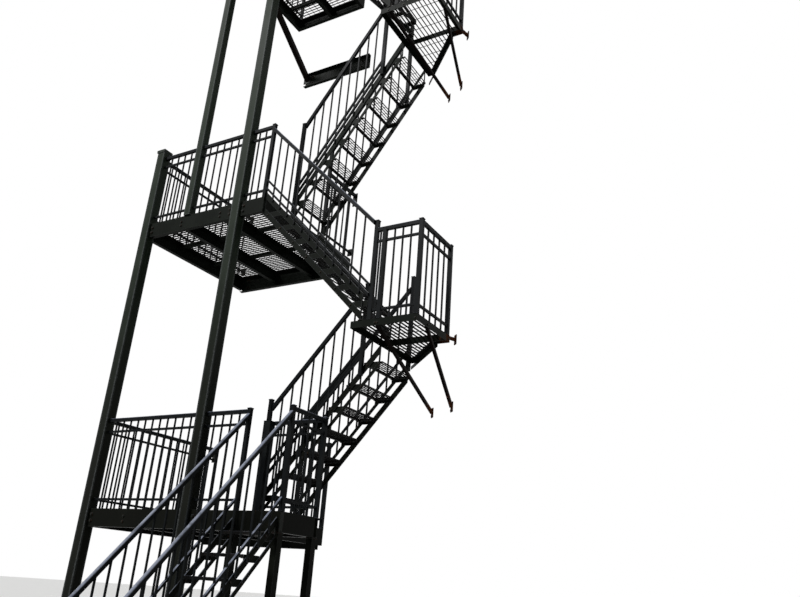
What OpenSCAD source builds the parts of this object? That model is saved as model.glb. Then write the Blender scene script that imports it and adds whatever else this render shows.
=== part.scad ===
// Fire escape stair: a raised porch with entry steps, two wall balconies above it, and
// switchback flights that turn on two small landings. Every member is steel bar, tube,
// angle or channel. Millimetres, +X right along the wall, +Y to the wall, +Z up, origin
// on the underside of the left post's base plate.

/* [Levels above the ground] */
// Porch floor
porch_z = 2200; // [1200:10:3000]
// Lower landing floor
landing_1_z = 4150; // [3000:10:5000]
// Lower balcony floor
balcony_1_z = 5967; // [4500:1:7500]
// Upper landing floor
landing_2_z = 8365; // [6500:5:9500]
// Upper balcony floor
balcony_2_z = 10565; // [8500:5:11500]

/* [Plan] */
// Wall face, measured from the posts' centre line
wall_y = 1950; // [1500:10:2400]
// Right edge of the balconies and of the porch's main floor
balcony_w = 2040; // [1900:10:2600]
// Left edge of the upper balcony, which is narrower
upper_x = 740; // [400:10:1200]
// Depth of the upper balcony, which stops short of the wall
upper_d = 1620; // [1400:10:1800]
// Centre of the right-hand tall post
right_post_x = 1610; // [1400:10:1700]
// Right edge of the porch's entry bay
bay_x = 2900; // [2800:10:3400]
// Depth of the entry bay
bay_d = 620; // [500:10:900]
// Centre of the newel left of the entry steps
entry_x = 2290; // [2150:10:2400]
// Centre of the stub post where the first flight leaves the porch
stub_at = [2120, 548]; // [500:1:2200]
// Left edge of the landings
landing_x = 3500; // [3200:10:4000]
// Right edge of the landings
landing_end_x = 4300; // [4200:10:5000]
// Depth of the landings at their right side
landing_side_d = 755; // [700:5:1200]
// Where the landings' slanted edge starts at their right-hand end
landing_slant_x = 4160; // [4090:10:4280]
// Full depth of the landings
landing_d = 1330; // [1310:10:1400]
// Centre of the rail post in the middle of a landing's front
landing_post_x = 3830; // [3790:10:4000]

/* [Posts] */
// Side of the two tall posts
post_s = 127; // [80:1:160]
// Side of the post on the lower balcony's beam
upper_post_s = 102; // [60:1:130]
// Side of the legs under the entry bay
leg_s = 76; // [60:1:100]
// Side of the stub post
stub_s = 95; // [60:1:120]
// Wall of the posts' tube
post_t = 6; // [3:1:10]
// Overhang of the posts' caps
cap_lip = 12; // [0:1:25]
// Height of the band round a cap
cap_h = 40; // [10:1:80]
// Rise of a cap's roof
cap_rise = 25; // [5:1:60]
// Height of a post's head above the floor that it passes
post_head = 1205; // [1100:5:1400]
// Side of a tall post's base plate
base_s = 230; // [200:5:300]
// Side of a leg's base plate
leg_base_s = 120; // [110:5:200]
// Base plate thickness
base_t = 16; // [10:1:25]

/* [Anchors] */
// Radius of an anchor hole
anchor_r = 9; // [6:0.5:14]
// Spacing of a base plate's anchor holes
anchor_pitch = 178; // [150:1:180]
// Distance of the wall anchors from a wall channel's ends
anchor_end = 150; // [80:5:300]
// Height between the two rows of wall anchors
anchor_row = 134; // [80:1:180]

/* [Floors] */
// Height of the edge channels
beam_h = 203; // [150:1:254]
// Flange width of the edge channels
beam_b = 57; // [40:1:80]
// Height of the wall channels
ledger_h = 254; // [200:1:300]
// Web and flange thickness of the channels
channel_t = 8; // [5:1:12]
// Spacing of the joists between the side channels of a floor
joist_pitch = 680; // [450:10:1100]
// Rows of cross members, measured from the posts' centre line
bridging_y = [600, 1240]; // [200:10:1700]
// Height and width of a cross member
bridging_s = 50; // [30:1:80]
// Height of the landings' edge angles
angle_h = 76; // [50:1:120]
// Width of the landings' edge angles
angle_b = 51; // [30:1:76]
// Depth of a tread's nosing bar and end plates
grating_h = 30; // [20:1:50]
// Depth of the bearing bars
bar_d = 18; // [12:1:40]
// Thickness of a bearing bar
bar_t = 6; // [4:1:10]
// Bearing bar spacing of the balconies and the porch
bar_pitch = 51; // [30:1:80]
// Bearing bar spacing of the landings
landing_pitch = 55; // [30:1:80]

/* [Rails] */
// Height of a level rail above its floor
rail_h = 1067; // [900:1:1200]
// Side of the top rails and handrails
rail_s = 38; // [30:1:50]
// Side of the lower rails
subrail_s = 25; // [16:1:38]
// Top of the second rail below the top of the first
subrail_drop = 145; // [80:5:200]
// Bottom rail above the floor
bottom_rail_z = 95; // [50:5:150]
// Side of a baluster
picket_s = 16; // [10:1:20]
// Baluster spacing
picket_pitch = 127; // [90:1:150]
// Side of a newel or rail post
newel_s = 44; // [38:1:64]
// Wall of a newel's tube
newel_t = 4; // [2:1:6]
// Newel above the rail that it ends
newel_tip = 10; // [0:1:40]

/* [Flights] */
// Risers of the entry steps
entry_n = 10; // [8:1:14]
// Run of the entry steps
entry_run = 1850; // [1500:10:2400]
// Risers of the four flights, from the bottom
flight_n = [8, 8, 9, 9]; // [5:1:12]
// Where the foot of each flight stands
foot_x = [2009, 3622, 2004, 3622]; // [1990:1:3800]
// Outer edge of each flight, on the street side
street_y = [640, 0, 600, 0]; // [0:5:800]
// Outer edge of each flight, on the wall side
inner_y = [1300, 600, 1235, 600]; // [500:5:1330]
// Handrail top above the nosing line
guard_h = [960, 1010, 1150, 1010]; // [850:5:1300]
// Lowest rail of the street-side guard above the nosing line
guard_low = [115, 130, 70, 130]; // [50:5:200]
// Second rail of the street-side guard above the lowest
guard_gap = 115; // [80:5:160]
// Handrail top above the nosing line of the entry steps
entry_guard_h = 900; // [850:5:1100]

/* [Stringers and treads] */
// Upper stringer bar above the nosing line, centre
bar_lift = [-95, 35, -35, 35]; // [-120:5:40]
// Lower stringer bar below the upper, centre to centre
bar_gap = [175, 220, 220, 220]; // [150:5:260]
// How far the treads of each flight stand in front of even steps from its foot
tread_lead = [0, 60, 0, 60]; // [0:5:80]
// Height of a main stringer bar
bar_h = 64; // [50:1:76]
// Height of a secondary stringer bar
thin_bar_h = 38; // [25:1:50]
// Thickness of a stringer bar
bar_w = 12; // [8:1:16]
// Leg of the tread angles
cleat_s = 38; // [25:1:50]
// Thickness of the tread angles
cleat_t = 6; // [4:1:8]
// How far a tread angle's end stays inside the lower bar's lower edge
cleat_end = 6; // [4:1:12]
// Overlap of one tread over the next
nosing = 25; // [10:1:40]
// Width of a tread's nosing bar
nose_b = 32; // [20:1:50]
// Bearing bars behind the nosing bar
tread_bars = 6; // [4:1:8]

/* [Newels of the flights] */
// Foot newel of each flight, centre along the run
foot_newel_x = [38, -98, 14, -98]; // [-120:1:60]
// Foot newel of each flight above its floor
foot_newel_h = [1340, 1160, 1455, 1160]; // [1100:5:1500]
// Head newels along the run: flight 1 street side, flight 1 wall side, flight 3
head_newel_x = [1262, 1470, 1212]; // [1100:1:1480]
// Head newels above the handrail
head_newel_rise = [5, 115, 120]; // [0:5:150]

/* [Braces] */
// Side of a landing's braces
brace_s = 32; // [20:1:40]
// Width and depth of the upper balcony's knee brace
knee_s = 76; // [50:1:100]
// Top of the wall channel that the knee brace stands on
knee_z = 9650; // [8500:10:10500]
// Top of the knee brace's foot below that
knee_drop = 48; // [45:1:100]
// Rise of the knee brace for one of run
knee_slope = 0.7; // [0.5:0.05:1.2]
// Distance of the head of a landing's right-hand brace from the landing's front
brace_head_y = 240; // [100:5:600]
// Head of the other brace under each landing's front
brace_head_x = [3800, 3615]; // [3550:5:4200]
// Feet of the two braces of each landing, measured from the landing's floor
brace_feet = [[[4282, 902, -750], [3842, 1302, -700]], [[4185, 990, -695], [3869, 1278, -590]]];
// Foot of a landing's corner bracket, measured from the landing's floor
bracket_foot = [4300, 886, 0];
// Wall plate of a brace: width, thickness, height
wall_plate = [60, 10, 110]; // [8:1:200]
// Reach past a landing's back edge of the bar under its slanted edge
outrigger = 190; // [100:10:240]
// Height of that bar
outrigger_h = 38; // [25:1:60]
// Lap of that bar on the frame
outrigger_lap = 10; // [5:1:20]

/* [Output] */
// Node to show, or all

/* [Hidden] */

paint = [0.07, 0.08, 0.08];
deck_paint = [0.06, 0.06, 0.07];

// Half widths, and the lines of the right-hand rails
half = post_s / 2;
upper_half = upper_post_s / 2;
beam_half = beam_b / 2;
newel_half = newel_s / 2;
rail_x = balcony_w - newel_half;
bay_rail_x = bay_x - newel_half;
bay_rail_y = bay_d - newel_half;
landing_rail_x = landing_end_x - newel_half;

// Floors at the two ends of each flight, and where its head meets the upper one
foot_z = [porch_z, landing_1_z, balcony_1_z, landing_2_z];
head_z = [landing_1_z, balcony_1_z, landing_2_z, balcony_2_z];
head_x = [landing_x, balcony_w, landing_x, balcony_w];

function rise(i) = (head_z[i] - foot_z[i]) / flight_n[i];
function run(i) = abs(head_x[i] - foot_x[i]);
function going(i) = run(i) / (flight_n[i] - 1);

// Joists stand on the front channels' lower flanges and carry the grating
joist_h = beam_h - bar_d - channel_t;

// Vertical height of a slanted bar of height h at slope k
function upright(h, k) = h * sqrt(1 + k * k);

// Square tube standing on z = 0, closed by a lid that is as thick as the tube's wall
module tube_post(s, h, t = post_t, lip = 2) {
    difference() {
        translate([-s / 2, -s / 2, 0]) cube([s, s, h - t]);
        translate([t - s / 2, t - s / 2, -1]) cube([s - 2 * t, s - 2 * t, h - 2 * t + 1]);
    }
    translate([-s / 2 - lip, -s / 2 - lip, h - t]) cube([s + 2 * lip, s + 2 * lip, t]);
}

// Roof of a cap w wide, with four slopes
module cap_roof(w) {
    intersection_for(turn = [0, 90])
        rotate([90, 0, turn]) linear_extrude(w, center = true)
            polygon([[-w / 2, 0], [w / 2, 0], [0, cap_rise]]);
}

// Square tube standing on z = 0, with a banded and roofed cap whose peak is at h
module capped_post(s, h) {
    w = s + 2 * cap_lip;
    top = h - cap_rise;
    difference() {
        union() {
            translate([-s / 2, -s / 2, 0]) cube([s, s, top]);
            translate([-w / 2, -w / 2, top - cap_h]) cube([w, w, cap_h]);
        }
        translate([post_t - s / 2, post_t - s / 2, -1])
            cube([s - 2 * post_t, s - 2 * post_t, top - post_t + 1]);
    }
    translate([0, 0, top]) cap_roof(w);
}

// Base plate with four anchor holes, underside on z = 0
module base_plate() {
    difference() {
        translate([-base_s / 2, -base_s / 2, 0]) cube([base_s, base_s, base_t]);
        for (x = [-1, 1], y = [-1, 1])
            translate([x, y, 0] * anchor_pitch / 2 + [0, 0, -1])
                cylinder(r = anchor_r, h = base_t + 2, $fn = 24);
    }
}

module ground_post(h) {
    base_plate();
    translate([0, 0, base_t]) capped_post(post_s, h - base_t);
}

// Channel profile: web on the left, flanges to the right, top on y = 0
module channel_profile(h, b) {
    difference() {
        translate([0, -h]) square([b, h]);
        translate([channel_t, channel_t - h]) square([b, h - 2 * channel_t]);
    }
}

// Channel along +X: web's back on y = 0, flanges towards +Y, top on z = 0
module channel_x(l, h = beam_h, b = beam_b) {
    rotate([90, 0, 90]) linear_extrude(l) channel_profile(h, b);
}

// Channel along +Y: web's back on x = 0, flanges towards +X, top on z = 0
module channel_y(l, h = beam_h, b = beam_b) {
    translate([0, l, 0]) rotate([90, 0, 0]) linear_extrude(l) channel_profile(h, b);
}

// Wall channel from x0 to x1, its top on z = 0, with anchor holes near the ends a and b of
// the floor
module wall_channel(x0, x1, a, b) {
    difference() {
        translate([x1, wall_y, 0]) rotate([0, 0, 180]) channel_x(x1 - x0, ledger_h);
        for (x = [a + anchor_end, b - anchor_end], z = [-1, 1])
            translate([x, wall_y + 1, (z * anchor_row - ledger_h) / 2]) rotate([90, 0, 0])
                cylinder(r = anchor_r, h = channel_t + 2, $fn = 24);
    }
}

// Bar grating over a rectangle: bearing bars along X and, between n cells, cross bars
module grating_2d(w, d, pitch, n) {
    rows = max(1, round(d / pitch));
    row = (d - bar_t) / rows;
    cell = (w - bar_t) / n;
    difference() {
        square([w, d]);
        for (i = [0 : n - 1], j = [0 : rows - 1])
            translate([bar_t + i * cell, bar_t + j * row]) square([cell - bar_t, row - bar_t]);
    }
}

// Level rail along +X between x = 0 and l with n balusters, floor on z = 0
module level_rail(l, n = 0) {
    count = n > 0 ? n : max(1, round(l / picket_pitch) - 1);
    translate([0, -rail_s / 2, rail_h - rail_s]) cube([l, rail_s, rail_s]);
    for (z = [rail_h - subrail_drop - subrail_s, bottom_rail_z])
        translate([0, -subrail_s / 2, z]) cube([l, subrail_s, subrail_s]);
    for (i = [1 : count])
        translate([(i * l / (count + 1)) - picket_s / 2, -picket_s / 2, 0])
            cube([picket_s, picket_s, rail_h - rail_s]);
}

// Level rail along +Y
module level_rail_y(l, n = 0) {
    rotate([0, 0, 90]) level_rail(l, n);
}

module newel(h = rail_h + newel_tip) {
    tube_post(newel_s, h, newel_t, 2);
}

// Slanted bar in the x-z plane, w thick, its centre line from [x0, z0] with slope k
module slanted(x0, z0, l, k, h, w) {
    v = upright(h, k) / 2;
    translate([0, w / 2, 0]) rotate([90, 0, 0]) linear_extrude(w)
        polygon([[x0, z0 - v], [x0 + l, z0 + k * l - v], [x0 + l, z0 + k * l + v], [x0, z0 + v]]);
}

// One side of a flight with n risers r high and goings g long: an upper and a lower bar of
// heights h, and under the end of every tread an angle that joins them. The flight rises
// along +X from x = 0, z = 0, the bars' centre plane is y = 0 and the angles point to +Y.
module stringer(n, r, g, lift, gap, h, lead = 0) {
    k = r / g;
    l = (n - 1) * g;
    v = [upright(h[0], k) / 2, upright(h[1], k) / 2];
    top = r + lift;
    low = -(top - gap - v[1]) / k;
    reach = min(g + nosing, lead + (gap - lift - grating_h - cleat_s + v[1]) / k - cleat_end);
    slanted(0, top, l, k, h[0], bar_w);
    slanted(low, top - gap + k * low, l - low, k, h[1], bar_w);
    for (i = [1 : n - 1])
        translate([(i - 1) * g - lead, bar_w / 2, i * r]) {
            translate([0, 0, -grating_h - cleat_s]) cube([reach, cleat_t, grating_h + cleat_s]);
            translate([0, 0, -grating_h - cleat_t]) cube([reach, cleat_s, cleat_t]);
        }
    translate([0, -bar_w / 2, 0]) cube([bar_w, bar_w, top + v[0]]);
    translate([l - bar_w, -bar_w / 2, n * r + lift - gap - v[1]])
        cube([bar_w, bar_w, gap + v[0] + v[1]]);
}

// Treads of a flight, w long: a nosing bar and end plates, and bearing bars between them
// with two cross bars
module treads(n, r, g, w, lead = 0) {
    d = g + nosing;
    cell = (d - nose_b) / (tread_bars - 1);
    row = (w - bar_t) / 3;
    for (i = [1 : n - 1]) translate([(i - 1) * g - lead, 0, i * r]) {
        translate([0, 0, -grating_h]) linear_extrude(grating_h) difference() {
            square([d, w]);
            translate([nose_b, bar_t]) square([d, w - 2 * bar_t]);
        }
        translate([0, 0, -bar_d]) linear_extrude(bar_d) difference() {
            square([d, w]);
            for (j = [0 : tread_bars - 2], m = [0 : 2])
                translate([nose_b + j * cell, bar_t + m * row]) square([cell - bar_t, row - bar_t]);
        }
    }
}

// Guard of one side of a flight between x0 and x1 on the bars' outer face: a handrail with
// its top h above the nosing line, low rails, and balusters that end on the upper bar
module flight_guard(n, r, g, lift, h, lows, x0, x1) {
    k = r / g;
    l = x1 - x0;
    m = round(l / picket_pitch);
    translate([0, -(bar_w + picket_s) / 2, 0]) {
        slanted(x0, r + k * x0 + h - upright(rail_s, k) / 2, l, k, rail_s, rail_s);
        for (z = lows)
            slanted(x0, r + k * x0 + z, l, k, subrail_s, subrail_s);
        for (i = [1 : m - 1]) {
            x = x0 + i * l / m;
            translate([x - picket_s / 2, -picket_s / 2, r + k * x + lift])
                cube([picket_s, picket_s, h - lift - rail_s]);
        }
    }
}

// Puts what is drawn for one side of flight i in its place: far is true on the wall side
module side(i, far) {
    y = far ? inner_y[i] - bar_w / 2 : street_y[i] + bar_w / 2;
    translate([foot_x[i], y, foot_z[i]]) mirror([i % 2, 0, 0]) mirror([0, far ? 1 : 0, 0])
        children();
}

module flight_stringers(i) {
    side(i, false) stringer(flight_n[i], rise(i), going(i), bar_lift[i], bar_gap[i],
        [bar_h, i % 2 == 1 ? bar_h : thin_bar_h], tread_lead[i]);
    side(i, true) stringer(flight_n[i], rise(i), going(i), bar_lift[i], bar_gap[i],
        [thin_bar_h, bar_h], tread_lead[i]);
}

// Play between a tread and the angles that carry its ends
tread_gap = 1;

module flight_treads(i) {
    inset = bar_w + cleat_t + tread_gap;
    translate([foot_x[i], street_y[i] + inset, foot_z[i]]) mirror([i % 2, 0, 0])
        treads(flight_n[i], rise(i), going(i), inner_y[i] - street_y[i] - 2 * inset, tread_lead[i]);
}

module guard(i, far, lows, x1) {
    side(i, far) flight_guard(flight_n[i], rise(i), going(i), bar_lift[i], guard_h[i], lows,
        foot_newel_x[i] + newel_half, x1);
}

function street_lows(i) = [guard_low[i], guard_low[i] + guard_gap];

// Newel against the outer face of a side's bars, centre at x along the run
module outer_newel(i, far, x, z, h) {
    side(i, far) translate([x, -(bar_w + newel_s) / 2, z]) newel(h);
}

// Newel at the head of a handrail, from the lower edge of the upper bar, j its number
module head_newel(i, far, j) {
    k = rise(i) / going(i);
    x = head_newel_x[j];
    z = rise(i) + k * x + bar_lift[i] - upright(bar_h, k) / 2;
    outer_newel(i, far, x, z, rise(i) + k * x + guard_h[i] + head_newel_rise[j] - z);
}

// Guard of a street-side flight: it starts at a newel on the landing and ends at the balcony
module street_guard(i) {
    guard(i, false, street_lows(i), run(i));
    side(i, false) translate([foot_newel_x[i], newel_half - bar_w / 2, 0]) newel(foot_newel_h[i]);
}

// Guards of a wall-side flight, with head newels j on the street side and m on the wall side
module wall_flight_guards(i, j, m) {
    guard(i, false, street_lows(i), head_newel_x[j] - newel_half);
    guard(i, true, [guard_low[i]], head_newel_x[m] - newel_half);
    for (far = [false, true])
        outer_newel(i, far, foot_newel_x[i], 0, foot_newel_h[i]);
    head_newel(i, false, j);
    head_newel(i, true, m);
}

// Depth over which a landing's slanted edge runs, at 45 degrees
slant_d = landing_d - landing_side_d;

module landing_area(inset) {
    slant = landing_slant_x - inset * tan(22.5);
    polygon([[landing_x + inset, inset], [landing_end_x - inset, inset],
        [landing_end_x - inset, landing_side_d - inset], [slant, landing_side_d - inset],
        [slant - slant_d, landing_d - inset], [landing_x + inset, landing_d - inset]]);
}

// Part of the landing's outline between two insets
module landing_rim(outer, inner) {
    difference() {
        landing_area(outer);
        landing_area(inner);
    }
}

module landing_frame(z) {
    translate([0, 0, z - angle_h]) linear_extrude(angle_h) landing_rim(0, channel_t);
    translate([0, 0, z - bar_d - channel_t]) linear_extrude(channel_t) landing_rim(0, angle_b);
    translate([landing_x + channel_t, (landing_d - channel_t) / 2, z - angle_h])
        cube([landing_end_x - landing_x - 2 * channel_t, channel_t, angle_h - bar_d]);
    translate([landing_slant_x, landing_side_d, z - angle_h + outrigger_lap - outrigger_h])
        rotate([0, 0, 135]) translate([outrigger_lap, -1, 0])
            cube([slant_d * sqrt(2) + outrigger, channel_t + 2, outrigger_h]);
}

module landing_deck(z) {
    translate([0, 0, z - bar_d]) linear_extrude(bar_d) {
        intersection() {
            translate([landing_end_x - channel_t, channel_t]) rotate(90)
                grating_2d(landing_d - 2 * channel_t, landing_end_x - landing_x - 2 * channel_t,
                    landing_pitch, 2);
            landing_area(channel_t);
        }
        landing_rim(channel_t, channel_t + bar_t);
    }
}

// Front channel of a floor from x0, which the right-hand tall post passes
module front_channels(x0, x1) {
    translate([x0, -beam_half, 0]) channel_x(right_post_x - half - x0);
    translate([right_post_x + half, -beam_half, 0]) channel_x(x1 - right_post_x - half);
}

// Bays of a floor between its side channels, for a floor that starts at x0
function bays(x0) = max(1, round((balcony_w - x0) / joist_pitch));

// Joist positions of a floor between its left edge x0 and the right edge of the balconies
function joist_x(x0) = [for (i = [1 : 1 : bays(x0) - 1]) x0 + i * (balcony_w - x0) / bays(x0)];

// Channels of a floor along X: the front ones from xf to x1, one at the back, and the
// cross members between the webs of the joists and side channels
module floor_beams(x0, xf, x1, z, depth = wall_y) {
    xs = concat([x0 - beam_half], joist_x(x0), [balcony_w - channel_t]);
    back_x = x0 + beam_half;
    back_l = balcony_w - beam_b - back_x;
    translate([0, 0, z]) {
        front_channels(xf, x1);
        if (depth == wall_y)
            wall_channel(back_x, back_x + back_l, x0, balcony_w);
        else
            translate([back_x + back_l, depth, 0]) rotate([0, 0, 180]) channel_x(back_l);
        for (i = [0 : bays(x0) - 1], y = bridging_y)
            translate([xs[i] + channel_t, y, -bar_d - channel_t])
                channel_x(xs[i + 1] - xs[i] - channel_t, bridging_s, bridging_s);
    }
}

// Channels of a floor along Y: the two side channels and the joists, with y0 the back face
// of the post at the left-hand corner
module floor_joist_set(x0, y0, z, depth = wall_y) {
    translate([x0 - beam_half, y0, z]) channel_y(depth - y0);
    translate([balcony_w, beam_half, z]) mirror([1, 0, 0]) channel_y(depth - beam_half);
    for (x = joist_x(x0))
        translate([x, channel_t - beam_half, z - bar_d])
            channel_y(depth + beam_half - 2 * channel_t, joist_h);
}

module floor_deck(x0, z, posts, depth = wall_y) {
    translate([0, 0, z - bar_d]) linear_extrude(bar_d) difference() {
        translate([x0 + beam_half, beam_half])
            grating_2d(balcony_w - beam_b - x0 - beam_half, depth - beam_b - beam_half,
                bar_pitch, bays(x0));
        for (p = posts)
            translate([p[0] - p[1], -p[1]]) square(2 * p[1]);
    }
}

module post_left() color(paint) ground_post(balcony_1_z + post_head);

module post_right() color(paint)
    translate([right_post_x, 0, 0]) ground_post(balcony_2_z + post_head);

module post_upper() color(paint)
    translate([upper_x, 0, balcony_1_z])
        capped_post(upper_post_s, balcony_2_z - balcony_1_z + post_head);

module porch_beams() color(paint) {
    floor_beams(0, half, bay_x, porch_z);
    translate([bay_x, bay_d, porch_z]) rotate([0, 0, 180]) channel_x(bay_x - balcony_w);
}

module porch_deck() color(deck_paint) {
    floor_deck(0, porch_z, [[0, half], [right_post_x, half]]);
    translate([balcony_w, beam_half, porch_z - bar_d]) linear_extrude(bar_d)
        grating_2d(bay_x - balcony_w - beam_b, bay_d - beam_b - beam_half, bar_pitch, 1);
}

// Legs under the entry bay, set back from the front beam's face
leg_set = 12;

module porch_legs() color(paint)
    for (p = [[entry_x, leg_set], [bay_x - leg_s / 2, leg_set], [bay_x - leg_s / 2, bay_d - leg_s / 2]])
        translate([p[0], p[1], 0]) {
            translate([-leg_base_s / 2, -leg_base_s / 2, 0]) cube([leg_base_s, leg_base_s, base_t]);
            translate([0, 0, base_t]) tube_post(leg_s, porch_z - beam_h - base_t, post_t, 0);
        }

module porch_front_rail() color(paint) translate([0, 0, porch_z]) {
    translate([half, 0, 0]) level_rail(right_post_x - post_s);
    translate([right_post_x + half, 0, 0]) level_rail(entry_x - newel_half - right_post_x - half);
    translate([entry_x, 0, 0]) newel();
}

module porch_left_rail() color(paint)
    translate([0, half, porch_z]) level_rail_y(wall_y - half);

// Right end of the entry bay, and of the main floor behind the first flight
module porch_right_rail() color(paint) translate([0, 0, porch_z]) {
    translate([bay_rail_x, 0, 0]) newel();
    translate([bay_rail_x, newel_half, 0]) level_rail_y(bay_rail_y - newel_s);
    translate([bay_rail_x, bay_rail_y, 0]) newel();
    translate([rail_x, inner_y[0] + newel_s, 0])
        level_rail_y(wall_y - newel_s - newel_half - inner_y[0]);
    translate([rail_x, wall_y - newel_half, 0]) newel();
}

module porch_bay_rail() color(paint) translate([0, 0, porch_z]) {
    translate([stub_at[0], stub_at[1], 0]) tube_post(stub_s, rail_h);
    translate([stub_at[0] + stub_s / 2, bay_rail_y, 0])
        level_rail(bay_rail_x - newel_half - stub_at[0] - stub_s / 2);
}

entry_g = entry_run / (entry_n - 1);
entry_r = porch_z / entry_n;
entry_lift = bar_lift[0];
// Centre planes of the entry stringers, so that the handrails meet the porch's newels
guard_out = (bar_w + picket_s) / 2;
entry_left = entry_x + guard_out;
entry_right = bay_rail_x - guard_out;

// Puts an entry side in its place: it is drawn along +X and climbs to the porch's front
module entry_side(left) {
    translate([left ? entry_left : entry_right, -entry_run - beam_half, 0]) rotate([0, 0, 90])
        mirror([0, left ? 1 : 0, 0]) children();
}

module entry_stringers() color(paint)
    for (left = [false, true])
        entry_side(left) stringer(entry_n, entry_r, entry_g, entry_lift, bar_gap[0],
            [bar_h, thin_bar_h]);

module entry_treads() color(deck_paint) {
    inset = bar_w / 2 + cleat_t + tread_gap;
    entry_side(false) translate([0, inset, 0])
        treads(entry_n, entry_r, entry_g, entry_right - entry_left - 2 * inset);
}

module entry_handrails() color(paint)
    for (left = [false, true])
        entry_side(left) {
            flight_guard(entry_n, entry_r, entry_g, entry_lift, entry_guard_h, [guard_low[0]],
                newel_half, entry_run + beam_half - newel_half);
            translate([0, -(bar_w + newel_s) / 2, 0]) newel(entry_r + entry_guard_h + newel_tip);
        }

module flight_1_stringers() color(paint) flight_stringers(0);
module flight_1_treads() color(deck_paint) flight_treads(0);
module flight_1_handrails() color(paint) wall_flight_guards(0, 0, 1);

module flight_2_stringers() color(paint) flight_stringers(1);
module flight_2_treads() color(deck_paint) flight_treads(1);
module flight_2_handrail() color(paint) street_guard(1);

module flight_3_stringers() color(paint) flight_stringers(2);
module flight_3_treads() color(deck_paint) flight_treads(2);
module flight_3_handrails() color(paint) wall_flight_guards(2, 2, 2);

module flight_4_stringers() color(paint) flight_stringers(3);
module flight_4_treads() color(deck_paint) flight_treads(3);
module flight_4_handrail() color(paint) street_guard(3);

// Front rail of a landing, from the newel of flight i past a middle post to a corner post
module landing_front_rail(i, z) {
    x0 = foot_x[i] - foot_newel_x[i] + newel_half;
    x1 = landing_post_x - newel_half;
    translate([0, newel_half, z]) {
        translate([x0, 0, 0]) level_rail(x1 - x0, 1);
        translate([landing_post_x, 0, 0]) newel(rail_h);
        translate([x1 + newel_s, 0, 0]) level_rail(landing_rail_x - newel_half - x1 - newel_s, 3);
        translate([landing_rail_x, 0, 0]) newel();
    }
}

module landing_side_rail(z) {
    l = landing_side_d - 2 * newel_s - newel_tip;
    translate([landing_rail_x, newel_s, z]) {
        level_rail_y(l);
        translate([0, l + newel_half, 0]) newel();
    }
}

module landing_1_frame() color(paint) landing_frame(landing_1_z);
module landing_1_deck() color(deck_paint) landing_deck(landing_1_z);
module landing_1_front_rail() color(paint) landing_front_rail(1, landing_1_z);
module landing_1_side_rail() color(paint) landing_side_rail(landing_1_z);
module landing_2_frame() color(paint) landing_frame(landing_2_z);
module landing_2_deck() color(deck_paint) landing_deck(landing_2_z);
module landing_2_front_rail() color(paint) landing_front_rail(3, landing_2_z);
module landing_2_side_rail() color(paint) landing_side_rail(landing_2_z);

module balcony_1_beams() color(paint) floor_beams(0, half, balcony_w, balcony_1_z);

module balcony_1_deck() color(deck_paint)
    floor_deck(0, balcony_1_z, [[0, half], [right_post_x, half]]);

// Front rails of a balcony to the right of the thinner post, and its corner newel
module balcony_front_rail() {
    translate([upper_x + upper_half, 0, 0]) level_rail(right_post_x - upper_x - half - upper_half);
    translate([right_post_x + half, 0, 0]) level_rail(balcony_w - right_post_x - half - newel_s);
    translate([rail_x, 0, 0]) newel();
}

module balcony_1_front_rail() color(paint) translate([0, 0, balcony_1_z]) {
    translate([half, 0, 0]) level_rail(upper_x - half - upper_half);
    balcony_front_rail();
}

module balcony_1_left_rail() color(paint)
    translate([0, half, balcony_1_z]) level_rail_y(wall_y - half);

module balcony_1_right_rail() color(paint)
    translate([rail_x, inner_y[2] + newel_s, balcony_1_z]) level_rail_y(wall_y - inner_y[2] - newel_s);

module balcony_2_beams() color(paint) {
    floor_beams(upper_x, upper_x + upper_half, balcony_w, balcony_2_z, upper_d);
    translate([0, 0, knee_z]) wall_channel(upper_x, balcony_w, upper_x, balcony_w);
}

module balcony_2_deck() color(deck_paint)
    floor_deck(upper_x, balcony_2_z, [[upper_x, upper_half], [right_post_x, half]], upper_d);

module balcony_2_front_rail() color(paint)
    translate([0, 0, balcony_2_z]) balcony_front_rail();

module balcony_2_left_rail() color(paint) translate([upper_x, 0, balcony_2_z]) {
    translate([0, upper_half, 0]) level_rail_y(upper_d - newel_s - upper_half);
    translate([0, upper_d - newel_half, 0]) newel();
}

module balcony_2_right_rail() color(paint)
    translate([rail_x, inner_y[3] + newel_half, balcony_2_z]) {
        newel();
        translate([0, newel_half, 0]) level_rail_y(upper_d - inner_y[3] - 2 * newel_s);
        translate([0, upper_d - inner_y[3] - newel_s, 0]) newel();
    }

module floor_joists() color(paint) {
    floor_joist_set(0, half, porch_z);
    floor_joist_set(0, half, balcony_1_z);
    floor_joist_set(upper_x, upper_half, balcony_2_z, upper_d);
    translate([bay_x, beam_half, porch_z]) mirror([1, 0, 0]) channel_y(bay_d - beam_b - beam_half);
    translate([(balcony_w + bay_x) / 2, channel_t - beam_half, porch_z - bar_d])
        channel_y(bay_d + beam_half - 2 * channel_t, joist_h);
}

// Square strut between two points
module strut(p, q, s) {
    d = q - p;
    flat = sqrt(d[0] * d[0] + d[1] * d[1]);
    translate(p) rotate([0, 0, atan2(d[1], d[0])]) rotate([0, atan2(-d[2], flat), 0])
        translate([0, -s / 2, -s / 2]) cube([norm(d), s, s]);
}

// Strut from p to a plate on the slanted wall at q
module wall_strut(p, q, s) {
    strut(p, q, s);
    translate(q) rotate([0, 0, -45]) translate([-wall_plate[0] / 2, 0, -wall_plate[2] / 2])
        cube(wall_plate);
}

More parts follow.
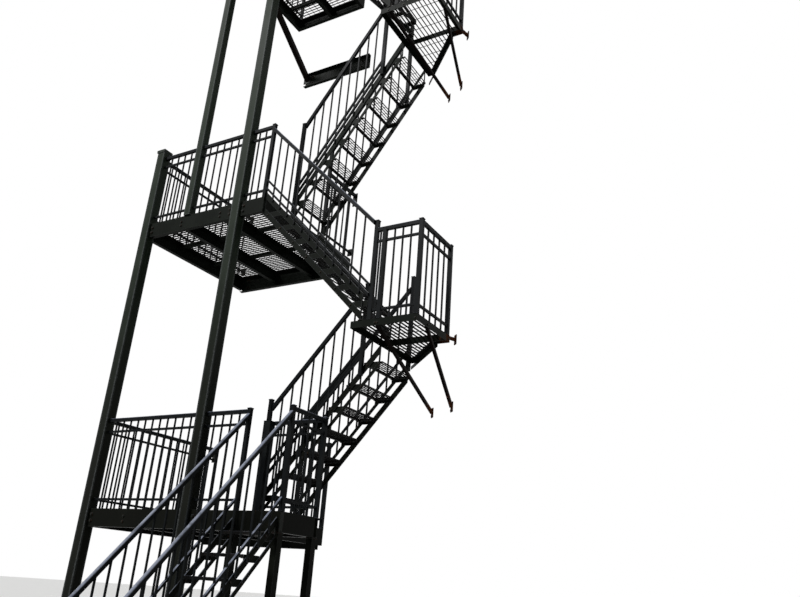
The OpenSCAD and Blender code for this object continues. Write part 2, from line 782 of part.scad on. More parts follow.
module landing_braces(j, z) translate([0, 0, z]) {
    inset = channel_t + brace_s / 2;
    head_z = -bar_d - channel_t / 2 - brace_s / 2;
    wall_strut([landing_end_x - inset, brace_head_y, head_z], brace_feet[j][0], brace_s);
    wall_strut([brace_head_x[j], inset, head_z], brace_feet[j][1], brace_s);
    wall_strut([landing_end_x - inset, landing_side_d - inset, -bar_d], bracket_foot, brace_s);
}

// Knee brace from the web of its wall channel up to the left side channel's underside
module knee_brace() {
    y = wall_y - channel_t;
    z = knee_z - knee_drop;
    v = upright(knee_s, knee_slope);
    top = balcony_2_z - beam_h;
    translate([upper_x, 0, 0]) rotate([90, 0, 90]) linear_extrude(knee_s)
        polygon([[y, z], [y, z - v], [y - (top - z + v) / knee_slope, top],
            [y - (top - z) / knee_slope, top]]);
}

module wall_braces() color(paint) {
    landing_braces(0, landing_1_z);
    landing_braces(1, landing_2_z);
    knee_brace();
}

post_left();
post_right();
post_upper();
porch_beams();
porch_deck();
porch_legs();
porch_front_rail();
porch_left_rail();
porch_right_rail();
porch_bay_rail();
entry_stringers();
entry_treads();
entry_handrails();
flight_1_stringers();
flight_1_treads();
flight_1_handrails();
flight_2_stringers();
flight_2_treads();
flight_2_handrail();
flight_3_stringers();
flight_3_treads();
flight_3_handrails();
flight_4_stringers();
flight_4_treads();
flight_4_handrail();
landing_1_frame();
landing_1_deck();
landing_1_front_rail();
landing_1_side_rail();
landing_2_frame();
landing_2_deck();
landing_2_front_rail();
landing_2_side_rail();
balcony_1_beams();
balcony_1_deck();
balcony_1_front_rail();
balcony_1_left_rail();
balcony_1_right_rail();
balcony_2_beams();
balcony_2_deck();
balcony_2_front_rail();
balcony_2_left_rail();
balcony_2_right_rail();
floor_joists();
wall_braces();
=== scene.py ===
"""Fire escape stair: weathered paint, treads, rods, lugs, fixings, caps, welds and studio.

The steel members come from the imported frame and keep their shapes, apart from the treads and
the entry steps' guards, which are made here in their places. Every piece is in metres in the
frame's own axes: +X right along the wall, +Y to the wall, +Z up.
"""

import math

import bmesh
import bpy
import numpy as np
from bpy.props import FloatProperty, FloatVectorProperty, PointerProperty
from mathutils import Matrix, Vector


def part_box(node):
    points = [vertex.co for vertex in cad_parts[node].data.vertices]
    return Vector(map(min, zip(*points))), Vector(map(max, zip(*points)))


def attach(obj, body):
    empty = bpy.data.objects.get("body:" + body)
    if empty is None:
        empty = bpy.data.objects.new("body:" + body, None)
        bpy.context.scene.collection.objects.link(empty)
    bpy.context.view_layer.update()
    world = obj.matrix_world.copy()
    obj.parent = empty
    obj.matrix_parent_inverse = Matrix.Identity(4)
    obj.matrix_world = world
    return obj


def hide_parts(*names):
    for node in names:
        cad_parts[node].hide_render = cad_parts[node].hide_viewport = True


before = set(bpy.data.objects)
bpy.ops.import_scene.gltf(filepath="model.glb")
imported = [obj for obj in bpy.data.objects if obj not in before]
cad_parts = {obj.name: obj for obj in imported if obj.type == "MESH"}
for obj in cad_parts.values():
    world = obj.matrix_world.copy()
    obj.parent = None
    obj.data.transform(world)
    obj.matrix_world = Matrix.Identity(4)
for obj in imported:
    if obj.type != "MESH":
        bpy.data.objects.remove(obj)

bl_info = {
    "name": "Fire Escape Stair",
    "version": (1, 0, 0),
    "blender": (4, 5, 0),
    "location": "View3D > Sidebar > Fire Escape",
    "description": "Paints the stair's steel and makes its treads, fixings, caps and welds",
    "category": "Object",
}

BODY = "root"
UP = Vector((0, 0, 1))
DOWN = Vector((0, 0, -1))
STREET = Vector((0, -1, 0))
RIGHT = Vector((1, 0, 0))
BACK = Vector((0, 1, 0))
CORNERS = ((-1, -1), (1, -1), (1, 1), (-1, 1))

# Levels and lines of the steelwork, read from the frame
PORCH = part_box("porch_deck")[1].z
BALCONY_1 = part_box("balcony_1_deck")[1].z
BALCONY_2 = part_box("balcony_2_deck")[1].z
LANDING_1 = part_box("landing_1_deck")[1].z
LANDING_2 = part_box("landing_2_deck")[1].z
LANDINGS = (LANDING_1, LANDING_2)
BALCONY_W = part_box("balcony_1_beams")[1].x
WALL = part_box("balcony_1_beams")[1].y
UPPER_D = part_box("balcony_2_left_rail")[1].y

# Posts and legs: half widths, places along the front, and their base plates
POST_HALF = 0.0635
UPPER_HALF = 0.051
LEG_HALF = 0.038
RIGHT_POST = 1.61
UPPER_X = 0.740
POSTS = ((0.0, POST_HALF), (RIGHT_POST, POST_HALF), (UPPER_X, UPPER_HALF))
BASE_T = 0.016
ANCHOR_OUT = 0.089
LEG_ANCHOR_IN = 0.011

# Channels and the plates that are bolted to them, the joists' places along the front by
# floor, and each wall channel's top and left end
BAY_X = 2.9
BEAM_HALF = 0.0285
BEAM_H = 0.203
WEB_Y = -0.0285
WEB_T = 0.008
PLATE_T = 0.008
JOISTS = {PORCH: (0.68, 1.36), BALCONY_1: (0.68, 1.36), BALCONY_2: (1.39,)}
UPPER_CHANNEL = 9.650
WALL_CHANNELS = ((PORCH, 0.0), (BALCONY_1, 0.0), (UPPER_CHANNEL, UPPER_X))
WALL_ANCHOR_MID = 0.127
WALL_ANCHOR_HALF = 0.067

# Gratings and treads: heights and widths of their bars, and the stringers beside them
GRATING_H = 0.030
BAR_T = 0.006
BAR_D = 0.018
NOSE_BAR = 0.032
TREAD_BARS = 5
NOSING = 0.025
STRINGER_W = 0.012
STRINGER_SET = 0.019
ANGLE_MID = 0.034

# Guards: heights of their rails over the floor, and half widths of their bars and newels
RAIL_H = 1.067
RAIL_HALF = 0.019
SUBRAIL_HALF = 0.0125
SUBRAILS = (RAIL_H - 0.1575, 0.1075)
BALUSTER_HALF = 0.008
BALUSTER_PITCH = 0.127
NEWEL = 0.022
NEWEL_TIP = 0.01
STUB = 0.0475

# Welds: spacing of a bead's ripples, how far a rail's bead is off its newel, and where the
# flights' balusters are welded, below a handrail's top and over the stringer's upper bar
WELD_RIPPLE = 0.0055
END_BEAD_OFF = 0.001
HANDRAIL_UNDER = 0.056
BAR_OVER = 0.006

# Entry steps' handrails over the nosings: as packed, and as they are made here
ENTRY_GUARD_LOW = 0.900
ENTRY_GUARD_H = 1.010

# Newels and rail posts: x, y, floor, half width
NEWELS = [
    (2.290, 0.0, PORCH, NEWEL), (2.878, 0.0, PORCH, NEWEL), (2.878, 0.598, PORCH, NEWEL),
    (2.120, 0.548, PORCH, STUB), (2.018, 1.928, PORCH, NEWEL),
    (2.047, 0.618, PORCH, NEWEL), (2.047, 1.322, PORCH, NEWEL),
    (2.018, 0.578, BALCONY_1, NEWEL), (2.018, 1.257, BALCONY_1, NEWEL),
    (2.018, 0.0, BALCONY_1, NEWEL), (2.018, 0.0, BALCONY_2, NEWEL),
    (2.018, 0.622, BALCONY_2, NEWEL), (2.018, 1.598, BALCONY_2, NEWEL),
    (UPPER_X, 1.598, BALCONY_2, NEWEL),
    *[(x, y, z, NEWEL) for z in LANDINGS
      for x, y in ((3.720, 0.022), (3.830, 0.022), (4.278, 0.022), (4.278, 0.723))],
]

# Level rails: x and y of both ends, floor, and balusters (0 where the spacing gives them)
LEVEL_RAILS = [
    (0.0635, 0, 1.5465, 0, PORCH, 0), (1.6735, 0, 2.268, 0, PORCH, 0),
    (0, 0.0635, 0, 1.95, PORCH, 0), (2.878, 0.022, 2.878, 0.576, PORCH, 0),
    (2.018, 1.344, 2.018, 1.906, PORCH, 0), (2.1675, 0.598, 2.856, 0.598, PORCH, 0),
    *[row for z in LANDINGS for row in (
        (3.742, 0.022, 3.808, 0.022, z, 1), (3.852, 0.022, 4.256, 0.022, z, 3),
        (4.278, 0.044, 4.278, 0.701, z, 0))],
    (0.0635, 0, 0.689, 0, BALCONY_1, 0),
    *[row for z in (BALCONY_1, BALCONY_2) for row in (
        (0.791, 0, 1.5465, 0, z, 0), (1.6735, 0, 1.996, 0, z, 0))],
    (0, 0.0635, 0, 1.95, BALCONY_1, 0), (2.018, 1.279, 2.018, 1.95, BALCONY_1, 0),
    (UPPER_X, 0.051, UPPER_X, 1.576, BALCONY_2, 0), (2.018, 0.644, 2.018, 1.576, BALCONY_2, 0),
]

# Flights: treads, direction of climb, upper bar above the nosing line, gap to the lower
# bar, lead of the treads, floor, and the foot's place along the climb
FLIGHTS = [
    ("entry_treads", BACK, -0.095, 0.175, 0.0, 0, -1.8785),
    ("flight_1_treads", RIGHT, -0.095, 0.175, 0.0, PORCH, 2.009),
    ("flight_2_treads", -RIGHT, 0.035, 0.220, 0.060, LANDING_1, 3.622),
    ("flight_3_treads", RIGHT, -0.035, 0.220, 0.0, BALCONY_1, 2.004),
    ("flight_4_treads", -RIGHT, 0.035, 0.220, 0.060, LANDING_2, 3.622),
]

# Handrails: flight, plane, top above the nosing line, and both ends along the climb
HANDRAILS = [
    (0, 2.290, ENTRY_GUARD_H, 0.022, 1.8565), (0, 2.878, ENTRY_GUARD_H, 0.022, 1.8565),
    (1, 0.632, 0.960, 0.060, 1.240), (1, 1.308, 0.960, 0.060, 1.448),
    (2, -0.008, 1.010, -0.076, 1.582), (3, 0.592, 1.150, 0.036, 1.190),
    (3, 1.243, 1.150, 0.036, 1.190), (4, -0.008, 1.010, -0.076, 1.582),
]

# Newels at the flights' feet: height over the floor, by x and y. Newels at the flights'
# heads and at the entry: flight, plane, place along the climb, height over the nosings.
# The newel at UNCAPPED_X ends level with its rails and has no cap.
FOOT_NEWELS = {(2.047, 0.618): 1.340, (2.047, 1.322): 1.340, (3.720, 0.022): 1.160,
               (2.018, 0.578): 1.455, (2.018, 1.257): 1.455}
SLOPE_NEWELS = [(1, 0.618, 1.262, 0.965), (1, 1.322, 1.470, 1.075),
                (3, 0.578, 1.212, 1.270), (3, 1.257, 1.212, 1.270),
                *[(0, plane, 0, ENTRY_GUARD_H + NEWEL_TIP) for plane in (2.276, 2.892)]]
UNCAPPED_X = 3.830

# Where rails end on the wall: x and floor
WALL_ENDS = ((0.0, PORCH), (0.0, BALCONY_1), (2.018, BALCONY_1))

# Landings: right edge, where the slanted side starts, and the frame bolts' drop and places.
# Braces: feet on the slanted wall, and heads on the landings' front edges.
LANDING_EDGE = 4.300
SLANT_X, SLANT_Y = 4.160, 0.755
LANDING_BOLT_DROP = 0.046
LANDING_BOLTS = ((LANDING_EDGE, 0.240, RIGHT), (4.278, 0, STREET), (3.830, 0, STREET),
                 (LANDING_EDGE, 0.723, RIGHT))
BRACE_FEET = [(4.282, 0.902, LANDING_1 - 0.750), (3.842, 1.302, LANDING_1 - 0.700),
              (4.185, 0.990, LANDING_2 - 0.695), (3.869, 1.278, LANDING_2 - 0.590)]
BRACE_HEADS = [(LANDING_1, 3.800), (LANDING_2, 3.615)]

# Plates at the foot and the head of the upper balcony's knee brace
KNEE_FOOT = Vector((0.778, WALL - 0.012, 9.5555))
KNEE_HEAD = Vector((0.764, 0.790, BALCONY_2 - BEAM_H - 0.004))

# Rust round the braces' feet and the landings' corner brackets: point and reach
FOOT_RUST = [(point, 0.30) for point in BRACE_FEET]
CORNER_RUST = [((4.285, 0.80, z), 0.22) for z in LANDINGS]

# Paints: which colours they take, and how much dust, rust, rust on edges and gloss they
# have. The other words change the usual film, as paint_material() explains. The dust's pale
# blue is partly a painted sky sheen on what faces up, the rubbed edges are partly painted
# highlights, and the lower steel gets painted shade.
PAINTS = {
    "Post paint": dict(finish="post", dust_and_sheen=0.40, rust=0.12, edge=0.35, gloss=0.04, patch=1.1,
                       damp=0.45, ground_shade=0.85, rub_and_highlight=1.0, arris=0.030),
    "Frame paint": dict(finish="frame", dust_and_sheen=0.36, rust=0.22, edge=0.45, gloss=0.02,
                        ground_shade=0.6, rub_and_highlight=0.5, arris=0.005),
    "Stringer paint": dict(finish="frame", dust_and_sheen=0.32, rust=0.15, edge=0.3, gloss=0.02,
                           ground_shade=0.6, rub_and_highlight=0.6, arris=0.008),
    "Rail paint": dict(finish="rail", dust_and_sheen=0.85, rust=0.10, edge=0.5, gloss=0.03, patch=3.0),
    "Handrail paint": dict(finish="hand", dust_and_sheen=1.0, rust=0.05, edge=0.4, gloss=0.08,
                           patch=4.0),
    "Grating paint": dict(finish="grating", dust_and_sheen=0.32, rust=0.30, edge=0.6, gloss=0.02,
                          patch=3.5),
    "Tread paint": dict(finish="grating", dust_and_sheen=0.25, rust=0.24, edge=0.5, gloss=0.03,
                        patch=5.0),
    "Brace paint": dict(finish="brace", dust_and_sheen=0.3, rust=0.10, edge=0.5, gloss=0.02,
                        points=FOOT_RUST + CORNER_RUST),
    "Landing paint": dict(finish="frame", dust_and_sheen=0.3, rust=0.26, edge=0.5, gloss=0.02,
                          points=CORNER_RUST),
    "Fixing paint": dict(finish="frame", dust_and_sheen=0.22, rust=0.55, edge=0.7, gloss=0.06,
                         patch=8.0),
}

# Paint of a frame node, by the first of these that its name holds
NODE_PAINTS = (
    ("_deck", "Grating paint"), ("_treads", "Tread paint"), ("post_", "Post paint"),
    ("_stringers", "Stringer paint"), ("rail", "Rail paint"), ("wall_braces", "Brace paint"),
    ("landing_", "Landing paint"), ("", "Frame paint"),
)

# Studio: the camera's place and its yaw, pitch and roll, the soft key light, the floor
CAMERA_AT = (7.6926, -6.0537, 1.5511)
CAMERA_TURN = (0.5373, 0.3761, 0.0718)
SENSOR_W = 36
KEY_WAY = Vector((0.42, 0.72, -0.62))
KEY_ANGLE = math.radians(14)
FLOOR_R = 90


# ---------------------------------------------------------------- shapes

def mesh_points(mesh):
    """Points of a mesh, one row each."""
    points = np.zeros(len(mesh.vertices) * 3)
    mesh.vertices.foreach_get("co", points)
    return points.reshape(-1, 3)


def solids(node):
    """Boxes (low, high) of the separate solids of a frame node, lowest first."""
    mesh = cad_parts[node].data
    points = mesh_points(mesh)
    keys = {}
    group = np.array([keys.setdefault(tuple(p), len(keys)) for p in np.round(points, 5)])
    label = np.arange(len(keys))
    edges = np.zeros(len(mesh.edges) * 2, int)
    mesh.edges.foreach_get("vertices", edges)
    edges = group[edges.reshape(-1, 2)]
    while True:
        before = label.copy()
        low = label[edges].min(1)
        np.minimum.at(label, edges[:, 0], low)
        np.minimum.at(label, edges[:, 1], low)
        if (label == before).all():
            break
    found = [points[label[group] == k] for k in np.unique(label)]
    boxes = [(Vector(p.min(0)), Vector(p.max(0))) for p in found]
    return sorted(boxes, key=lambda b: (round(b[0].z, 3), b[0].x))


def tube_faces(rings, sides):
    """Faces of a closed tube whose points come ring by ring."""
    faces = [tuple(range(sides - 1, -1, -1))]
    for a in range(0, (rings - 1) * sides, sides):
        for i in range(sides):
            n = (i + 1) % sides
            faces.append((a + i, a + n, a + sides + n, a + sides + i))
    faces.append(tuple((rings - 1) * sides + i for i in range(sides)))
    return faces


def lathe(profile, sides, turn=0.0):
    """Points and faces of a closed turned form; profile is (radius, height) from the bottom."""
    angles = turn + np.arange(sides) * 2 * math.pi / sides
    points = [(r * math.cos(a), r * math.sin(a), z) for r, z in profile for a in angles]
    return np.array(points), tube_faces(len(profile), sides)


def joined(*parts):
    """One set of points and faces from several."""
    points, faces, start = [], [], 0
    for p, f in parts:
        points.append(p)
        faces += [tuple(i + start for i in face) for face in f]
        start += len(p)
    return np.vstack(points), faces


def bolt_form(size, nut):
    """Washer and hexagon head, or nut with a threaded end, standing on z = 0 along +z."""
    t = size * 0.12
    hex_r, hex_h = size * 0.577, size * (0.55 if nut else 0.42)
    washer = lathe([(size * 0.72, 0), (size * 0.72, t * 0.7), (size * 0.67, t)], 14)
    head = lathe([(hex_r, t), (hex_r, t + hex_h * 0.82), (hex_r * 0.88, t + hex_h)], 6)
    if not nut:
        return joined(washer, head)
    r, z = size * 0.3, t + hex_h
    thread = [(r, z)]
    for i in range(3):
        thread += [(r * 0.88, z + size * (0.05 + i * 0.1)), (r, z + size * (0.1 + i * 0.1))]
    thread.append((r * 0.75, z + size * 0.36))
    return joined(washer, head, lathe(thread, 9))


def axes(direction, hint=UP):
    """Rotation whose z axis is direction, with x close to level."""
    z = direction.normalized()
    x = hint.cross(z)
    if x.length < 1e-4:
        x = RIGHT.copy()
    x.normalize()
    return np.array([x, z.cross(x), z])


def turned(section, angle):
    """Flat section turned by an angle."""
    c, s = math.cos(angle), math.sin(angle)
    return np.array(section) @ np.array([[c, s], [-s, c]])


def square_ring(x, y, z, half):
    """Corners of a level square."""
    return [(x + a * half, y + b * half, z) for a, b in CORNERS]


class Form:
    """Points and faces of one piece, gathered part by part."""

    def __init__(self):
        self.points, self.faces, self.count = [], [], 0

    def add(self, points, faces):
        self.faces += [tuple(i + self.count for i in f) for f in faces]
        self.points.append(np.asarray(points, float))
        self.count += len(points)

    def put(self, form, at, direction):
        """Stands a form at a point, along a direction."""
        self.add(form[0] @ axes(direction) + np.array(at), form[1])

    def plate(self, centre, size, x_axis=RIGHT, edge=0.002):
        """Plate with eased edges, centred; size runs along x_axis, across it and up."""
        x = x_axis.normalized()
        h = np.array(size) / 2
        e = min(edge, h.min() * 0.6)
        points = []
        for s in (-1, 1):
            for inset, level in ((e, h[2]), (0, h[2] - e)):
                points += [(a * (h[0] - inset), b * (h[1] - inset), s * level)
                           for a, b in CORNERS]
        low_in, low_out, high_in, high_out = 0, 4, 8, 12
        faces = [(3, 2, 1, 0), (8, 9, 10, 11)]
        for i in range(4):
            n = (i + 1) % 4
            for a, b in ((low_in, low_out), (low_out, high_out), (high_out, high_in)):
                faces.append((a + i, a + n, b + n, b + i))
        self.add(np.array(points) @ np.array([x, UP.cross(x), UP]) + np.array(centre), faces)

    def sweep(self, path, section, turns=None):
        """Section (n by 2) carried along path; turns gives its angle at each point."""
        path = np.array(path, float)
        points = []
        for i, (p, along) in enumerate(zip(path, np.gradient(path, axis=0))):
            level = abs(along[2]) < np.linalg.norm(along) * 0.9
            m = axes(Vector(along), UP if level else BACK)
            s = np.array(section) if turns is None else turned(section, turns[i])
            points.append(s @ m[:2] + p)
        self.add(np.vstack(points), tube_faces(len(path), len(section)))

    def bead(self, corners, radius, step, rng):
        """Weld bead with ripples round the corners."""
        corners = np.array(corners, float)
        corners = np.vstack([corners, corners[:1]])
        line = []
        for a, b in zip(corners[:-1], corners[1:]):
            n = max(2, int(np.linalg.norm(b - a) / step))
            line += [a + (b - a) * i / n for i in range(n)]
        line = np.array(line + [corners[-1]])
        sides = 5
        turn = np.arange(sides) * 2 * math.pi / sides
        points = []
        for i, (p, along) in enumerate(zip(line, np.gradient(line, axis=0))):
            r = radius * (1 + 0.28 * math.cos(i * math.pi) + rng.uniform(-0.12, 0.12))
            m = axes(Vector(along), UP if abs(along[2]) < 1e-4 else BACK)
            ring = np.stack([np.cos(turn) * r, np.sin(turn) * r], 1)
            points.append(ring @ m[:2] + p)
        self.add(np.vstack(points), tube_faces(len(line), sides))

    def piece(self, name, slot, material, smooth=35):
        """Makes the object, orients and shades its mesh, and lets it ride on the stair."""
        mesh = bpy.data.meshes.new(name)
        mesh.from_pydata(np.vstack(self.points).tolist(), [], self.faces)
        work = bmesh.new()
        work.from_mesh(mesh)
        bmesh.ops.recalc_face_normals(work, faces=work.faces)
        limit = math.radians(smooth)
        for face in work.faces:
            face.smooth = True
        for edge in work.edges:
            edge.smooth = len(edge.link_faces) == 2 and edge.calc_face_angle(0) < limit
        work.to_mesh(mesh)
        work.free()
        mesh.materials.append(bpy.data.materials[material])
        made = bpy.data.objects.new(name, mesh)
        bpy.context.scene.collection.objects.link(made)
        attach(made, BODY)
        return made


# ---------------------------------------------------------------- flights

def sideways(climb):
    """Direction across a flight, to +X or +Y."""
    return Vector((abs(climb.y), abs(climb.x), 0))


def tread_places(node, climb):
    """Each tread's nosing at its lower end across the flight, its width and its depth."""
    for lo, hi in solids(node):
        size = hi - lo
        nose = Vector((lo.x if climb.x >= 0 else hi.x, lo.y, hi.z))
        yield nose, size.dot(sideways(climb)), abs(size.dot(climb))


def rise_and_going(node, climb):
    """Rise and going from one tread of a flight to the next."""
    treads = solids(node)
    if len(treads) < 2:
        raise RuntimeError(f"{node} has too few treads")
    step = treads[1][0] - treads[0][0]
    return step.z, abs(step.dot(climb))


def flight_line(index):
    """Gives a flight's point at a distance along the climb, in a plane, over the nosings."""
    node, climb, *_, floor, foot = FLIGHTS[index]
    rise, going = rise_and_going(node, climb)
    across = sideways(climb)
    along = Vector((across.y, across.x, 0))

    def point(run, plane, height=0.0):
        level = floor + rise + rise / going * run + height
        return along * foot + climb * run + across * plane + UP * level

    return point


# ---------------------------------------------------------------- materials

class Net:
    """Short calls for building one node tree."""

    def __init__(self, tree):
        self.tree = tree

    def node(self, kind, settings=None, **inputs):
        made = self.tree.nodes.new(kind)
        for key, value in (settings or {}).items():
            setattr(made, key, value)
        for key, value in inputs.items():
            self.feed(made.inputs[key.replace("_", " ")], value)
        return made

    def feed(self, socket, value):
        if isinstance(value, bpy.types.NodeSocket):
            self.tree.links.new(value, socket)
        else:
            socket.default_value = value

    def group(self, label, **inputs):
        """Outputs of a shared effect, placed in this tree."""
        return self.node("ShaderNodeGroup", {"node_tree": bpy.data.node_groups[label]},
                         **inputs).outputs

    def math(self, operation, a, b, clamp=False):
        made = self.node("ShaderNodeMath", {"operation": operation, "use_clamp": clamp})
        self.feed(made.inputs[0], a)
        self.feed(made.inputs[1], b)
        return made.outputs[0]

    def plus(self, a, b, clamp=False):
        return self.math("ADD", a, b, clamp)

    def minus(self, a, b):
        return self.math("SUBTRACT", a, b)

    def times(self, a, b, clamp=False):
        return self.math("MULTIPLY", a, b, clamp)

    def measure(self, operation, a, b):
        """Number that two vectors give, such as a distance."""
        made = self.node("ShaderNodeVectorMath", {"operation": operation})
        self.feed(made.inputs[0], a)
        self.feed(made.inputs[1], b)
        return made.outputs["Value"]

    def mix(self, factor, a, b):
        made = self.node("ShaderNodeMix", {"data_type": "RGBA"})
        for index, value in ((0, factor), (6, a), (7, b)):
            self.feed(made.inputs[index], value)
        return made.outputs[2]

    def blend_value(self, factor, a, b):
        made = self.node("ShaderNodeMix", {"data_type": "FLOAT"})
        for index, value in ((0, factor), (2, a), (3, b)):
            self.feed(made.inputs[index], value)
        return made.outputs[0]

    def noise(self, vector, scale, detail=3.0, rough=0.55):
        return self.node("ShaderNodeTexNoise", Vector=vector, Scale=scale, Detail=detail,
                         Roughness=rough).outputs["Fac"]

    def step(self, value, low, high):
        """0 below low, 1 above high, smooth between."""
        made = self.node("ShaderNodeMapRange", {"interpolation_type": "SMOOTHSTEP"},
                         Value=value, From_Min=low, From_Max=high)
        return made.outputs[0]

    def stretched(self, vector, factors):
        return self.node("ShaderNodeMapping", Vector=vector, Scale=factors).outputs[0]

    def place(self):
        return self.node("ShaderNodeTexCoord").outputs["Object"]

    def normal(self):
        return self.node("ShaderNodeNewGeometry").outputs["Normal"]

    def part(self, vector, axis):
        return self.node("ShaderNodeSeparateXYZ", Vector=vector).outputs[axis]


def new_group(name, inputs, outputs):
    """Empty shader group with named sockets; returns its net, what it is given and gives."""
    tree = bpy.data.node_groups.new(name, "ShaderNodeTree")
    kinds = {"C": "NodeSocketColor", "F": "NodeSocketFloat", "V": "NodeSocketVector"}
    for label, kind, default in inputs:
        made = tree.interface.new_socket(name=label, in_out="INPUT", socket_type=kinds[kind])
        made.default_value = default
    for label, kind in outputs:
        tree.interface.new_socket(name=label, in_out="OUTPUT", socket_type=kinds[kind])
    start = tree.nodes.new("NodeGroupInput")
    end = tree.nodes.new("NodeGroupOutput")
    return Net(tree), start.outputs, end.inputs


def build_paint_film():
    """Brushed enamel: patchy colour, chalking, runs down the steel and fine orange peel."""
    net, given, gives = new_group(
        "Paint film",
        [("Paint", "C", (0.05, 0.06, 0.05, 1)), ("Faded", "C", (0.1, 0.11, 0.1, 1)),
         ("Patch Scale", "F", 2.0), ("Fade", "F", 0.5)],
        [("Color", "C"), ("Roughness", "F"), ("Height", "F")])
    place = net.place()
    patches = net.noise(place, given["Patch Scale"], 5.0, 0.6)
    runs = net.noise(net.stretched(place, (38, 38, 1.6)), 1.0)
    brush = net.noise(net.stretched(place, (160, 160, 9)), 1.0, 2.0)
    peel = net.noise(place, 420.0, 2.0)
    chalk = net.times(net.step(patches, 0.42, 0.72), given["Fade"])
    chalk = net.plus(chalk, net.times(net.step(runs, 0.5, 0.8), 0.22), True)
    colour = net.mix(chalk, given["Paint"], given["Faded"])
    shaded = net.mix(0.65, colour, (0.004, 0.005, 0.006, 1))
    colour = net.mix(net.times(net.step(brush, 0.35, 0.75), 0.3), colour, shaded)
    rough = net.plus(0.36, net.times(chalk, 0.34))
    rough = net.plus(rough, net.times(net.minus(peel, 0.5), 0.16))
    height = net.plus(net.times(brush, 0.35), net.times(peel, 0.12))
    net.feed(gives["Color"], colour)
    net.feed(gives["Roughness"], rough)
    net.feed(gives["Height"], net.plus(height, net.times(runs, 0.5)))


def build_rust_bloom():
    """Rust that breaks through the paint: blotches with pin holes and a stained rim."""
    net, given, gives = new_group(
        "Rust bloom",
        [("Amount", "F", 0.3), ("Scale", "F", 14.0), ("Extra", "F", 0.0)],
        [("Mask", "F"), ("Stain", "F"), ("Color", "C"), ("Height", "F")])
    dark, mid, pale = (0.022, 0.009, 0.006, 1), (0.085, 0.030, 0.014, 1), (0.20, 0.078, 0.03, 1)
    place = net.place()
    broad = net.noise(place, 1.7)
    spots = net.noise(place, given["Scale"], 6.0, 0.68)
    grain = net.noise(place, 210.0, 4.0, 0.7)
    field = net.plus(net.times(spots, 0.7), net.times(broad, 0.3))
    field = net.plus(field, net.times(given["Extra"], 0.42))
    edge = net.minus(0.78, net.times(given["Amount"], 0.3))
    mask = net.step(field, edge, net.plus(edge, 0.035))
    colour = net.mix(net.step(grain, 0.35, 0.6), dark, mid)
    colour = net.mix(net.step(net.noise(place, 60.0, 4.0, 0.7), 0.5, 0.75), colour, pale)
    net.feed(gives["Mask"], mask)
    net.feed(gives["Stain"], net.step(field, net.minus(edge, 0.13), net.plus(edge, 0.02)))
    net.feed(gives["Color"], colour)
    net.feed(gives["Height"], net.times(mask, net.minus(grain, 0.8)))


def build_edge_wear():
    """Where paint is rubbed thin along the steel's arrises, also where painted highlights go on
    them.
    """
    net, given, gives = new_group(
        "Edge wear", [("Radius", "F", 0.003), ("Amount", "F", 0.5)], [("Mask", "F")])
    soft = net.node("ShaderNodeBevel", {"samples": 3}, Radius=given["Radius"]).outputs[0]
    bent = net.minus(1.0, net.measure("DOT_PRODUCT", soft, net.normal()))
    broken = net.step(net.noise(net.place(), 46.0, 5.0, 0.7), 0.42, 0.66)
    broken = net.plus(net.times(broken, 0.65), 0.35)
    rub = net.times(net.step(bent, 0.03, 0.2), broken)
    net.feed(gives["Mask"], net.times(rub, given["Amount"], True))


def build_sky_dust_and_sheen():
    """Mask of what faces up, for pale dust and bleaching and for a painted sky sheen; thinner
    where rain has washed it.
    """
    net, given, gives = new_group("Sky dust and sheen", [("Amount", "F", 0.6)], [("Mask", "F")])
    up = net.step(net.part(net.normal(), "Z"), 0.25, 0.75)
    washed = net.step(net.noise(net.place(), 9.0, 5.0, 0.65), 0.3, 0.65)
    dust_and_sheen = net.times(up, net.plus(washed, 0.35, True))
    net.feed(gives["Mask"], net.times(dust_and_sheen, given["Amount"], True))


def build_damp_zone():
    """1 below a level, fading above it, for damp and grime near the ground."""
    net, given, gives = new_group(
        "Damp zone", [("Level", "F", 0.2), ("Fade", "F", 0.4)], [("Mask", "F")])
    top = net.plus(given["Level"], given["Fade"])
    dry = net.step(net.part(net.place(), "Z"), given["Level"], top)
    net.feed(gives["Mask"], net.minus(1.0, dry))


def build_near_point():
    """1 at a point, fading to 0 at the reach, for rust round a fixing."""
    net, given, gives = new_group(
        "Near point", [("Point", "V", (0, 0, 0)), ("Reach", "F", 0.3)], [("Mask", "F")])
    away = net.measure("DISTANCE", net.place(), given["Point"])
    far = net.step(away, net.times(given["Reach"], 0.25), given["Reach"])
    net.feed(gives["Mask"], net.minus(1.0, far))


